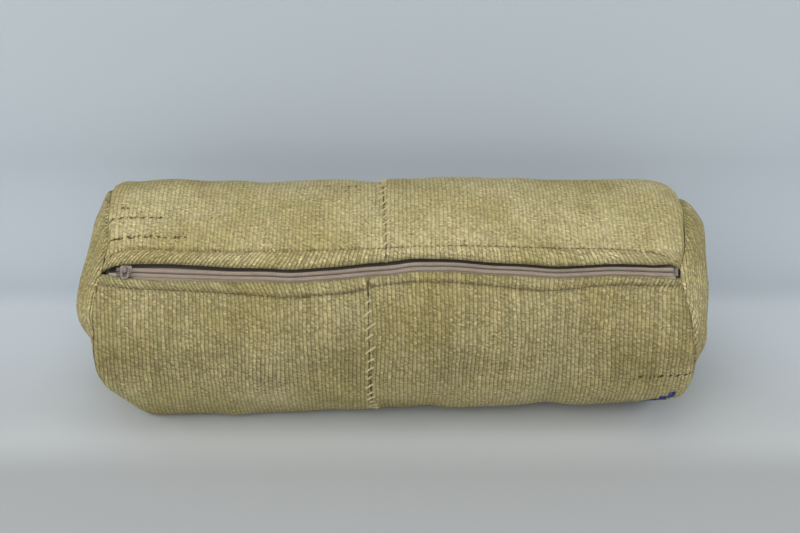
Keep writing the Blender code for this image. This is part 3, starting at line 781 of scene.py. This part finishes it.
def stripPiece(name, side):
    lipRows = np.arange(0, strips["lip"], strips["lipRow"])
    openRows = np.arange(strips["lip"], girth - strips["lip"], strips["row"])
    share = np.concatenate([lipRows, openRows, (girth - lipRows)[::-1]]) / girth
    foldTurns = np.linspace(0, np.pi, 8)[1:]
    count = int(seamAtEnds / strips["column"])
    lineU = np.linspace(0, 1, count)
    centreRoll = strips["centreRoll"]
    fold, hem = strips["fold"], strips["hem"]

    def row(base, offset, depth):
        # one row of the strip: base picks the coordinate on the girth, depth folds it under
        s0 = np.full(count, base)
        x = centreSeam(s0) + (endSeam(side, s0) - centreSeam(s0)) * lineU
        for _ in range(2):
            upperEdge, lowerEdge = lipEdges(x)
            s = upperEdge + fold + (lowerEdge - upperEdge - 2 * fold) * base / girth + offset
            middle, end = centreSeam(s), endSeam(side, s)
            x = middle + (end - middle) * lineU
        return x, s, np.full(count, depth)

    placed = []
    hemSteps = np.linspace(hem, fold * 0.2, 5)
    for step in hemSteps:
        placed.append(row(0.0, step, 2 * fold))
    for turn in foldTurns[::-1]:
        placed.append(row(0.0, -fold * math.sin(turn), fold * (1 - math.cos(turn))))
    for part in share:
        placed.append(row(part * girth, 0.0, 0.0))
    for turn in foldTurns:
        placed.append(row(girth, fold * math.sin(turn), fold * (1 - math.cos(turn))))
    for step in hemSteps[::-1]:
        placed.append(row(girth, -step, 2 * fold))
    x = np.array([item[0] for item in placed])
    s = np.array([item[1] for item in placed])
    depth = np.array([item[2] for item in placed])
    onTop = 1 - ease(depth / (2 * fold))

    gap = centreGap(s)
    toCentre = np.abs(x - centreSeam(s))
    x = x + side * gap * bump(toCentre, 0.006)
    toCentre = np.abs(x - centreSeam(s))
    lift = softLift(x, s) + simulatedLift(x, s) + zipLift(x, s) * onTop
    lift = lift + centreLift(toCentre, s) - depth
    u, v = weavePlace(x, s)
    v = v + np.where(s < girth / 2, -1, 1) * depth * 1.4
    lift = lift + ribLift(u, v) * onTop
    toEnd, _ = seamDistance(x, s)
    lift = lift - seamGroove * bump(toEnd, 0.0016)

    # the strip's edge dives at the centre seam, and its allowance turns in at the end seam
    before, after = range(centreRoll, 0, -1), range(1, 7)
    turned = strips["allowance"] / len(after)

    def widened(table, first, last):
        # the table with its columns for the dive and the allowance
        start = [table[:, :1] + first(k) for k in before]
        return np.concatenate(start + [table] + [table[:, -1:] + last(k) for k in after], axis=1)

    allX = widened(x, lambda k: -side * 0.0001 * k, lambda k: side * 0.0004 * min(k, 2))
    allLift = widened(lift, lambda k: -0.0009 * k, lambda k: -turned * k)
    allU = widened(u, lambda k: -side * 0.0009 * k, lambda k: side * turned * k)
    allS, allV = widened(s, lambda k: 0, lambda k: 0), widened(v, lambda k: 0, lambda k: 0)
    points = coverPoint(allX, allS, allLift)
    if side > 0:
        points, allU, allV = points[::-1], allU[::-1], allV[::-1]
    piece = gridMesh(name, points, np.stack([allU, allV], axis=-1))
    atBack = np.array([girth / 2])
    long = float(np.abs(endSeam(side, atBack) - centreSeam(atBack))[0])
    dress(piece, straw, "cover", "kilim", "body_panel_left" if side < 0 else "body_panel_right")


stripPiece("coverStripLeft", -1)
stripPiece("coverStripRight", 1)
print("woven strips done")


# the two round ends
ends = {
    "rings": 84,
    "around": 320,
    "allowance": 0.008,
    "lumps": 0.0012,
    "roll": 0.0026,             # how far the cloth rolls up past the seam
    "steep": 5.5,               # how suddenly the end rises from its seam
    # how far out each end puffs, in rows tilted back a little: mm up from the middle, mm along
    "tilt": 27.0,
    "leftPuff": [(-92, 204), (-75, 208), (-60, 210), (-46, 214), (-37, 218), (-30, 224.5),
                 (-22, 229.5), (-12, 232), (-4, 232), (7, 231), (21, 228), (40, 225), (55, 225),
                 (66, 223.5), (78, 221), (92, 214)],
    "rightPuff": [(-92, 213), (-78, 216), (-65, 219), (-53, 224.5), (-38, 232), (-22, 232),
                  (-8, 232.5), (7, 233.5), (21, 233.5), (40, 236.5), (55, 241), (66, 243),
                  (76, 239), (85, 228), (92, 216)],
}


def endPlace(side, s, q):
    # the surface of a round end. q runs from 0 at the seam to 1 in the middle
    rim = seamPoint(side, s, 0.0004)
    inner = np.clip(q, 0, 1)
    middle = np.array([0.0, axisHeight])
    flat = rim[..., 1:] + (middle - rim[..., 1:]) * inner[..., None]
    tilt = math.radians(ends["tilt"])
    row = (flat[..., 1] - axisHeight) * math.cos(tilt) + flat[..., 0] * math.sin(tilt)
    table = ends["leftPuff" if side < 0 else "rightPuff"]
    puff = smoothCurve([(up / 1000, out / 1000) for up, out in table], row)
    rise = 1 - (1 - inner) ** ends["steep"]
    x = np.abs(rim[..., 0]) + (puff - np.abs(rim[..., 0])) * rise
    lumps = ends["lumps"] * softNoise(s, q, girth / 9, 0.4, 60 + side)
    x = x + lumps * ease(inner * 3) * (1 - inner)
    x = x + 0.0009 * softNoise(s, q * 0, girth / 44, 1.0, 62 + side) * bump(inner - 0.06, 0.07)
    # the cloth rolls out and a little up before it turns in toward the middle
    roll = ends["roll"] * bump(inner - 0.045, 0.045) * ease(inner / 0.03)
    _, normal = sectionAt(s)
    flat = flat + normal * roll[..., None]
    flat[..., 1] = np.maximum(flat[..., 1], 0.0006)
    return np.concatenate([(side * x)[..., None], flat], axis=-1)


def endCloth(name, side):
    s = np.linspace(0, girth, ends["around"] + 1)
    q = np.linspace(0, 1, ends["rings"]) ** 1.3 * 0.996
    gridS, gridQ = np.meshgrid(s, q, indexing="ij")
    points = endPlace(side, gridS, gridQ)
    points[-1] = points[0]
    turned = []
    for step in (3, 2, 1):
        ring = seamPoint(side, s, 0.0012, -ends["allowance"] * step / 3)
        ring[-1] = ring[0]
        turned.append(ring[:, None])
    points = np.concatenate(turned + [points], axis=1)
    # how far each point lies from the middle, measured along the cloth
    steps = np.linalg.norm(np.diff(points, axis=1), axis=2)
    reach = np.concatenate([np.cumsum(steps[:, ::-1], axis=1)[:, ::-1], np.zeros((len(s), 1))], axis=1)
    turn = np.arctan2(points[..., 2] - axisHeight, points[..., 1])
    turn = turn + math.radians(20 if side < 0 else 40)
    turn[:, -1] = turn[:, -2]
    u, v = reach * np.cos(turn), reach * np.sin(turn)
    uv = np.stack([u, v], axis=-1)
    if side < 0:
        points, uv = points[:, ::-1], uv[:, ::-1]
    made = gridMesh(name, points, uv)
    dress(made, strawEnds, "cover", "kilim_end", "end_panel_left" if side < 0 else "end_panel_right")
    across = girth / math.pi + 2 * ends["allowance"] + 0.002
    math.pi * across**2 / 4


# the inner cushion
cushion = {
    "inset": 0.0084,            # how far it lies inside the cover
    "zipHollow": 0.0042,        # and how much further under the zip
    "back": 0.015,              # how far its tube stops short of the end seams
    "endInset": 0.0062,
    "turn": 0.26,
    "skin": 0.0013,
    "stitch": 0.0042,
}


def cushionRing(x, s, inset):
    lift = bellyLift(x, s) + simulatedLift(x, s) - inset
    lift = lift + 0.0006 * softNoise(x, s, 0.04, girth / 12, 71, 12)
    around = np.mod(s, girth)
    lift = lift - cushion["zipHollow"] * bump(np.minimum(around, girth - around), 0.017)
    return coverPoint(x, s, np.minimum(lift, -0.0062))


def cushionTube(inset, columns=90, around=160):
    s = np.linspace(0, girth, around + 1)
    gridS, gridU = np.meshgrid(s, np.linspace(0, 1, columns), indexing="ij")
    left, right = endSeam(-1, gridS) + cushion["back"], endSeam(1, gridS) - cushion["back"]
    points = cushionRing(left + (right - left) * gridU, gridS, inset)
    points[-1] = points[0]
    return points, gridS


def cushionEnd(side, inset, rings=34, around=160):
    tube, _ = cushionTube(inset, 2, around)
    rim = tube[:, 0 if side < 0 else 1]
    s = np.linspace(0, girth, around + 1)
    q = np.linspace(0, 1, rings)
    gridS, gridQ = np.meshgrid(s, q, indexing="ij")
    outer = endPlace(side, gridS, np.clip(0.07 + 0.93 * gridQ, 0, 0.999))
    edge = ease(gridQ / cushion["turn"])
    extra = inset - cushion["inset"]
    x = rim[:, None, 0] + (outer[..., 0] - side * (cushion["endInset"] + extra) - rim[:, None, 0]) * edge
    middle = np.array([0.0, axisHeight])
    flat = rim[:, None, 1:] + (middle - rim[:, None, 1:]) * (gridQ * 0.997)[..., None]
    points = np.concatenate([x[..., None], flat], axis=-1)
    points[-1] = points[0]
    return points if side > 0 else points[:, ::-1]


def plainUv(points):
    return np.stack([points[..., 1], points[..., 2] + points[..., 0]], axis=-1)


def buildCushion():
    tube, gridS = cushionTube(cushion["inset"])
    casing = gridMesh("cushionCasing", tube, np.stack([tube[..., 0], gridS], axis=-1))
    dress(casing, calico, "cover", "insert_cotton", "insert_casing_tube")
    for side, node, name in ((-1, "insert_end_left", "cushionEndLeft"),
                             (1, "insert_end_right", "cushionEndRight")):
        points = cushionEnd(side, cushion["inset"])
        piece = gridMesh(name, points, plainUv(points))
        dress(piece, calico, "cover", "insert_cotton", node)

    inset = cushion["inset"] + cushion["skin"]
    middleTube, _ = cushionTube(inset)
    whole = np.concatenate([cushionEnd(-1, inset)[:, :-1], middleTube, cushionEnd(1, inset)[:, 1:]], axis=1)
    fluff = gridMesh("cushionFilling", whole, plainUv(whole))
    dress(fluff, fibre, "cover", "fibre", "insert_filling")

    # the row of stitches that the cushion was closed with after filling
    low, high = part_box("insert_closing_stitch")
    spots = np.arange(low.x + 0.003, high.x - 0.003, cushion["stitch"])
    angle = math.atan2(((low.z + high.z) / 2 - axisHeight) / halfHeight, -(low.y + high.y) / 2 / halfWidth)
    if angle <= ellipseAngles[0]:
        angle += 2 * math.pi
    line = float(np.interp(angle, ellipseAngles, ellipseDistances))
    paths = []
    for spot in spots:
        xs = spot + np.array([-0.0009, -0.0004, 0.0004, 0.0009])
        arc = np.array([0.0, 0.0006, 0.0006, 0.0])
        sideways = line + np.array([-0.0012, -0.0005, 0.0005, 0.0012])
        base = cushionRing(xs, sideways, cushion["inset"])
        _, normal = sectionAt(sideways)
        base[:, 1:] += normal * arc[:, None]
        paths.append(base)
    stitches = tubeMesh("cushionClosingStitches", paths, 0.00028)
    dress(stitches, paleThread, "cover", "sewing_thread", "insert_closing_stitch")


def clothLook(name, colour, rough, scale, distance):
    graph = Graph(name)
    place = graph.node("ShaderNodeTexCoord", {}, (), 3)
    warp = (graph.axis(place, 0) * scale).math("SINE") * (graph.axis(place, 1) * scale).math("SINE")
    blotch = graph.noise(place, 30.0, 3.0)
    shade = graph.scaled(colour, 0.88 + 0.2 * blotch)
    height = warp + graph.noise(place, 800.0, 2.0)
    return graph.finish(shade, rough, 0.2, height, distance, sheen=0.3)


calico = clothLook("calico", (0.66, 0.63, 0.56), 0.85, 5200.0, 0.0001)
fibre = clothLook("fibreFill", (0.8, 0.8, 0.78), 0.95, 700.0, 0.0012)
paleThread = clothLook("paleThread", (0.55, 0.50, 0.34), 0.8, 9000.0, 0.0001)
handThread = clothLook("handThread", (0.50, 0.44, 0.235), 0.9, 4000.0, 0.0003)
# the machine-stitch thread is painted near black: partly the thread's own dark tan, partly painted shade
# for the stitch holes and groove it lies in
threadPaintedShade = clothLook("threadPaintedShade", (0.12, 0.095, 0.04), 0.75, 9000.0, 0.0001)

endCloth("coverEndLeft", -1)
endCloth("coverEndRight", 1)
print("round ends done")
buildCushion()
print("inner cushion done")

# the zip's tapes and coils
zipper = {
    "tapeDepth": 0.0057,
    "tapeInner": 0.0004,
    "tapeOuter": 0.0125,
    "tapeEnd": 0.2022,
    "dip": 0.0024,              # how far the upper tape goes down at the lip
    "sink": 0.0022,             # and left of the slider
    "coilFrom": -0.1937,
    "coilTo": 0.2010,
    "coilDepth": 0.0042,
    "coilOut": 0.0019,
    "toothWide": 0.00122,
    "toothTall": 0.00052,
    "wire": 0.00031,
    "pitch": 0.00130,
    "threadRows": (0.0015, 0.0022),
}


def zipSurface(x):
    # how far the cover's bulge lifts the zip, fading out where the slider runs to at each end
    return softLift(x, 0 * x) * ease((0.186 - np.abs(x)) / 0.03)


def zipPoint(x, across, depth):
    # the upper tape goes down just before the lip, and left of the slider
    s = alongZip("wave", x) + across
    lip = alongZip("upperOpen", x)
    dip = zipper["dip"] * ease((across - lip + 0.0026) / 0.002) * ease((0.2 - np.abs(x)) / 0.012)
    sink = zipper["sink"] * ease((-0.1960 - x) / 0.002) * ease(across / 0.001)
    return coverPoint(x, s, zipSurface(x) - depth - np.maximum(dip, sink))


def buildTape(name, side, node):
    xs = np.linspace(-zipper["tapeEnd"], zipper["tapeEnd"], 420)
    across = side * np.linspace(zipper["tapeInner"], zipper["tapeOuter"], 22)
    gridA, gridX = np.meshgrid(across, xs, indexing="ij")
    wave = 0.00018 * softNoise(gridX, gridA, 0.012, 0.006, 81)
    top = zipPoint(gridX, gridA, zipper["tapeDepth"] - wave)
    edge = alongZip("upperOpen", gridX) if side > 0 else 0.0
    uv = np.stack([gridX, gridA - edge], axis=-1)
    if side < 0:
        top, uv = top[::-1], uv[::-1]
    piece = gridMesh(name, top, uv)
    dress(piece, tapeWeave if side > 0 else tapeWeaveLowerPaintedLighter, "cover", "zip_tape", node)
    wide = zipper["tapeOuter"] - zipper["tapeInner"]


def buildCoil(name, side, node):
    turns = (zipper["coilTo"] - zipper["coilFrom"] - 0.002) / zipper["pitch"]
    t = np.arange(0, turns, 0.1)
    phase = 2 * math.pi * t + (0 if side > 0 else math.pi)
    x = zipper["coilFrom"] + 0.001 + t * zipper["pitch"]
    loop = np.sign(np.cos(phase)) * np.abs(np.cos(phase)) ** 0.7
    across = side * (zipper["coilOut"] - zipper["toothWide"] * loop)
    depth = zipper["coilDepth"] + zipper["toothTall"] * np.sin(phase)
    path = zipPoint(x, across, depth)
    coil = tubeMesh(name, [path], zipper["wire"], 6)
    # the two rows of thread that hold the coil down on its tape
    for offset in zipper["threadRows"]:
        spots = np.arange(zipper["coilFrom"] + 0.002, zipper["coilTo"] - 0.002, zipper["pitch"] * 2)
        threads = []
        for spot in spots:
            xs = np.array([spot - 0.0010, spot - 0.0006, spot + 0.0006, spot + 0.0010])
            height = zipper["coilDepth"] - zipper["toothTall"] - np.array([0.0000, 0.0004, 0.0004, 0.0000])
            threads.append(zipPoint(xs, side * offset + 0 * xs, height))
        rows = tubeMesh(name + "Thread", threads, 0.00016, 5)
        rows.data.materials.append(threadWeave)
        rows.parent = coil
    dress(coil, nylon, "cover", "zip_coil", node)


def tapeLook(name, colour, shaded=0.0):
    graph = Graph(name)
    place = graph.node("ShaderNodeUVMap", {"uv_map": "weave"})
    u, v = graph.axis(place, 0), graph.axis(place, 1)
    rib = (v * 2 * math.pi / 0.00075 + 1.2 * (u * 2 * math.pi / 0.00062).math("SINE")).math("SINE")
    tone = graph.random((u / 0.00031).math("FLOOR"), (v / 0.00075).math("FLOOR"))
    light = (0.86 + 0.2 * tone) * (0.9 + 0.1 * rib)
    if shaded:
        # painted shade next to the lip that covers it, and left of the slider
        light = light * (1 - shaded * v.above(-0.0023, -0.0012))
        light = light * (0.12 + 0.88 * u.above(-0.1970, -0.1955))
    return graph.finish(graph.scaled(colour, light), 0.8, 0.3, rib, 0.00018, sheen=0.1)


def nylonLook():
    graph = Graph("zipNylon")
    place = graph.node("ShaderNodeTexCoord", {}, (), 3)
    worn = graph.noise(place, 140.0, 3.0)
    shade = graph.mix(worn.above(0.4, 0.7), (0.46, 0.375, 0.31), (0.37, 0.30, 0.25))
    return graph.finish(shade, 0.45 + 0.2 * worn, 0.45)


tapeWeave = tapeLook("zipTape", (0.37, 0.305, 0.245), 0.8)
threadWeave = tapeLook("zipThread", (0.37, 0.305, 0.245))
# the lower tape is the same tape as the upper one, painted lighter as painted light in the shaded gap
# between coil and lip
tapeWeaveLowerPaintedLighter = tapeLook("zipTapeLower", (0.56, 0.48, 0.355))
nylon = nylonLook()
buildTape("zipTapeUpper", 1, "zip_tape_upper")
buildTape("zipTapeLower", -1, "zip_tape_lower")
buildCoil("zipCoilUpper", 1, "zip_coil_upper")
buildCoil("zipCoilLower", -1, "zip_coil_lower")
print("zip done")

# the slider, its pull and the stops, which keep their machined shapes
metalLook = {
    "paint": (0.115, 0.096, 0.080),
    "bare": (0.25, 0.225, 0.195),
    # stop: darker than the slider's paint, painted shade where the stops lie under the lips
    "stop": (0.065, 0.052, 0.043),
}


def metalPaint(name, colour, roughness):
    graph = Graph(name)
    place = graph.node("ShaderNodeTexCoord", {}, (), 3)
    edge = graph.node("ShaderNodeNewGeometry", {}, (), 7)
    grain = graph.noise(place, 900.0, 3.0)
    worn = edge.above(0.53, 0.60) * grain.above(0.35, 0.6)
    shade = graph.mix(0.75 * worn, graph.scaled(colour, 0.9 + 0.2 * grain), metalLook["bare"])
    return graph.finish(shade, roughness + 0.15 * grain, 0.3, grain, 0.00004)


sliderPaint = metalPaint("sliderPaint", metalLook["paint"], 0.48)
# the stops are painted dark as painted shade under the lips
stopMetalPaintedShade = metalPaint("stopMetalPaintedShade", metalLook["stop"], 0.6)
finishes = {
    "slider_body": sliderPaint,
    "slider_pull": sliderPaint,
    "top_stop_upper": stopMetalPaintedShade,
    "top_stop_lower": stopMetalPaintedShade,
    "bottom_stop": stopMetalPaintedShade,
}
for node, look in finishes.items():
    part = bpy.data.objects[node]
    part.data.materials.clear()
    part.data.materials.append(look)

# the machine stitches, the hand stitches and the end seams
sewing = {
    "from": -0.2035,
    "to": 0.2035,
    "pitch": 0.0042,
    "length": 0.0032,
    "thread": 0.00042,
    "handPitch": 0.0074,
    "handThread": 0.00072,
    "endPitch": 0.0062,
    "endThread": 0.0003,
}


def coverSurface(x, s):
    # height of the strips' outer face, without the weave
    toCentre = np.abs(x - centreSeam(s))
    return softLift(x, s) + simulatedLift(x, s) + zipLift(x, s) + centreLift(toCentre, s)


def buildTopstitch(name, line, base, node):
    random = np.random.RandomState(bolster["seed"] + 5)
    paths = []
    arc = np.array([-0.0006, 0.0008, 0.0011, 0.0008, -0.0006])
    spot = sewing["from"]
    while spot < sewing["to"]:
        x = spot + np.linspace(0, sewing["length"] * random.uniform(0.85, 1.15), 5)
        spot += sewing["pitch"] * random.uniform(0.92, 1.08)
        wave = alongZip("wave", x) * zipLine["stitchFollows"]
        s = base + alongZip(line, x) + wave + random.uniform(-0.0002, 0.0002)
        paths.append(coverPoint(x, s, coverSurface(x, s) + arc))
    piece = tubeMesh(name, paths, sewing["thread"])
    dress(piece, threadPaintedShade, "cover", "sewing_thread", node)


def buildCentreStitches():
    random = np.random.RandomState(bolster["seed"] + 6)
    paths = []
    slant = np.linspace(-1, 1, 7)
    arc = np.array([-0.0011, 0.0000, 0.0005, 0.0007, 0.0005, 0.0000, -0.0011])
    s = 0.021
    while s < girth - 0.020:
        wider = 1.15 if s > girth / 2 else 1.3
        reach = random.uniform(0.5, 1.15)
        along = s + slant * 0.0034 * reach
        x = centreSeam(along) + slant * 0.0044 * reach + random.uniform(-0.001, 0.001)
        lift = np.maximum(coverSurface(x, along), softLift(x, along) - 0.0012)
        paths.append(coverPoint(x, along, lift + arc))
        s += sewing["handPitch"] * wider * random.uniform(0.8, 1.2)
    piece = tubeMesh("centreHandStitches", paths, sewing["handThread"])
    dress(piece, handThread, "cover", "hand_thread", "centre_seam_thread")


def buildEndStitches(name, side, node):
    random = np.random.RandomState(bolster["seed"] + 8 + side)
    paths = []
    arc = np.array([-0.0022, -0.0008, -0.0004, -0.0008, -0.0022])
    s = 0.006
    while s < girth - 0.006:
        along = s + np.linspace(0, 0.0040, 5)
        path = seamPoint(side, along, 0.0001, 0.0)
        _, normal = sectionAt(along)
        path[:, 1:] += normal * arc[:, None]
        paths.append(path)
        s += sewing["endPitch"] * random.uniform(0.9, 1.1)
    piece = tubeMesh(name, paths, sewing["endThread"])
    dress(piece, paleThread, "cover", "sewing_thread", node)


buildTopstitch("topStitchUpper", "upperStitch", 0.0, "topstitch_upper")
buildTopstitch("topStitchLower", "lowerStitch", girth, "topstitch_lower")
buildCentreStitches()
buildEndStitches("endStitchesLeft", -1, "end_seam_thread_left")
buildEndStitches("endStitchesRight", 1, "end_seam_thread_right")
print("sewing done")

# the paper backdrop
studio = {
    "floorSize": 6.0,
    "coveStart": 0.135,
    "coveRadius": 0.10,
    "wallLean": 84.0,
    "wallHeight": 2.2,
    "nearFloor": (0.328, 0.339, 0.347),
    "floor": (0.410, 0.430, 0.443),
    "farFloor": (0.46, 0.50, 0.535),
    "lowWall": (0.345, 0.385, 0.422),
    "highWall": (0.376, 0.420, 0.455),
}


def buildStage():
    radius, lean = studio["coveRadius"], math.radians(studio["wallLean"])
    points = [(-2.5, 0.0), (-0.9, 0.0), (-0.3, 0.0), (0.0, 0.0), (studio["coveStart"], 0.0)]
    for turn in np.linspace(0, lean, 17)[1:]:
        points.append((studio["coveStart"] + radius * math.sin(turn), radius * (1 - math.cos(turn))))
    points.append((points[-1][0] + studio["wallHeight"] / math.tan(lean), studio["wallHeight"]))
    profile = np.array(points)
    across = np.linspace(-studio["floorSize"] / 2, studio["floorSize"] / 2, 9)
    grid = np.zeros((len(across), len(profile), 3))
    grid[..., 0] = across[:, None]
    grid[..., 1:] = profile[None]
    piece = gridMesh("backdrop", grid[::-1], np.zeros((len(across), len(profile), 2)))
    graph = Graph("backdropPaper")
    place = graph.node("ShaderNodeTexCoord", {}, (), 3)
    depth, height = graph.axis(place, 1), graph.axis(place, 2)
    sideways = 1 - graph.axis(place, 0).math("ABSOLUTE").above(0.12, 0.32)
    # the floor is painted darker nearer the camera and lighter from just in front of the bolster, a painted
    # lightening of its cast shadow; it grows lighter still towards the wall; the bump round the bolster's
    # front is a painted pool of light
    tone = graph.mix(depth.above(-0.135, -0.08), studio["nearFloor"], studio["floor"])
    tone = graph.mix(depth.above(-0.10, 0.11), tone, studio["farFloor"])
    tone = graph.scaled(tone, 1 + 0.13 * sideways * depth.near(-0.05, 0.02, 0.04))
    wall = graph.mix(height.above(0.03, 0.17), studio["lowWall"], studio["highWall"])
    tone = graph.mix(depth.above(0.125, 0.165), tone, wall)
    # the wall can be seen through from behind, so that the back of the bolster can be looked at
    behind = graph.node("ShaderNodeNewGeometry", {}, (), 6)
    graph.feed(graph.shader.inputs["Alpha"], 1 - behind)
    piece.data.materials.append(graph.finish(tone, 0.8, 0.1))


# each softbox: place, height that it points at, size, power and colour
softboxes = {
    "softboxFront": ((-0.5, -1.8, 1.15), 0.05, (2.2, 1.2), 30, (1.0, 0.99, 0.97)),
    "softboxAbove": ((-0.25, -0.15, 1.9), 0.0, (2.2, 1.6), 19, (1.0, 0.995, 0.98)),
    "softboxLeft": ((-1.9, -0.6, 0.9), 0.05, (1.2, 1.2), 16.5, (1.0, 0.99, 0.97)),
    "softboxRight": ((1.9, -0.6, 0.9), 0.05, (1.2, 1.2), 22, (1.0, 0.99, 0.97)),
    "softboxLow": ((0.0, -1.9, 0.38), 0.05, (2.4, 0.6), 6, (1.0, 0.99, 0.97)),
}
air = {"colour": (0.90, 0.95, 1.0, 1.0), "strength": 0.14}


def buildLight():
    world = bpy.data.worlds.new("studioAir")
    world.use_nodes = True
    background = world.node_tree.nodes["Background"]
    background.inputs["Color"].default_value = air["colour"]
    background.inputs["Strength"].default_value = air["strength"]
    bpy.context.scene.world = world
    for name, (place, aimHeight, size, power, colour) in softboxes.items():
        data = bpy.data.lights.new(name, "AREA")
        data.shape = "RECTANGLE"
        data.size, data.size_y = size
        data.energy = power
        data.color = colour
        made = bpy.data.objects.new(name, data)
        made.location = place
        toward = Vector((0, 0, aimHeight)) - Vector(place)
        made.rotation_euler = toward.to_track_quat("-Z", "Y").to_euler()
        bpy.context.scene.collection.objects.link(made)


camera = {"distance": 1.3, "elevation": 27.0, "lens": 76.9, "aimAboveAxis": 0.002, "shift": (0.01, 0.02875)}


def buildCamera():
    data = bpy.data.cameras.new("studioCamera")
    data.sensor_width = 36.0
    data.lens = camera["lens"]
    data.clip_start = 0.01
    data.shift_x, data.shift_y = camera["shift"]
    made = bpy.data.objects.new("studioCamera", data)
    aim = Vector((0, 0, axisHeight + camera["aimAboveAxis"]))
    tilt = math.radians(camera["elevation"])
    made.location = aim + Vector((0, -math.cos(tilt), math.sin(tilt))) * camera["distance"]
    made.rotation_euler = (aim - made.location).to_track_quat("-Z", "Y").to_euler()
    bpy.context.scene.collection.objects.link(made)
    bpy.context.scene.camera = made


bpy.context.scene.view_settings.view_transform = "Standard"
buildStage()
buildLight()
buildCamera()
print("stage, light and camera done")
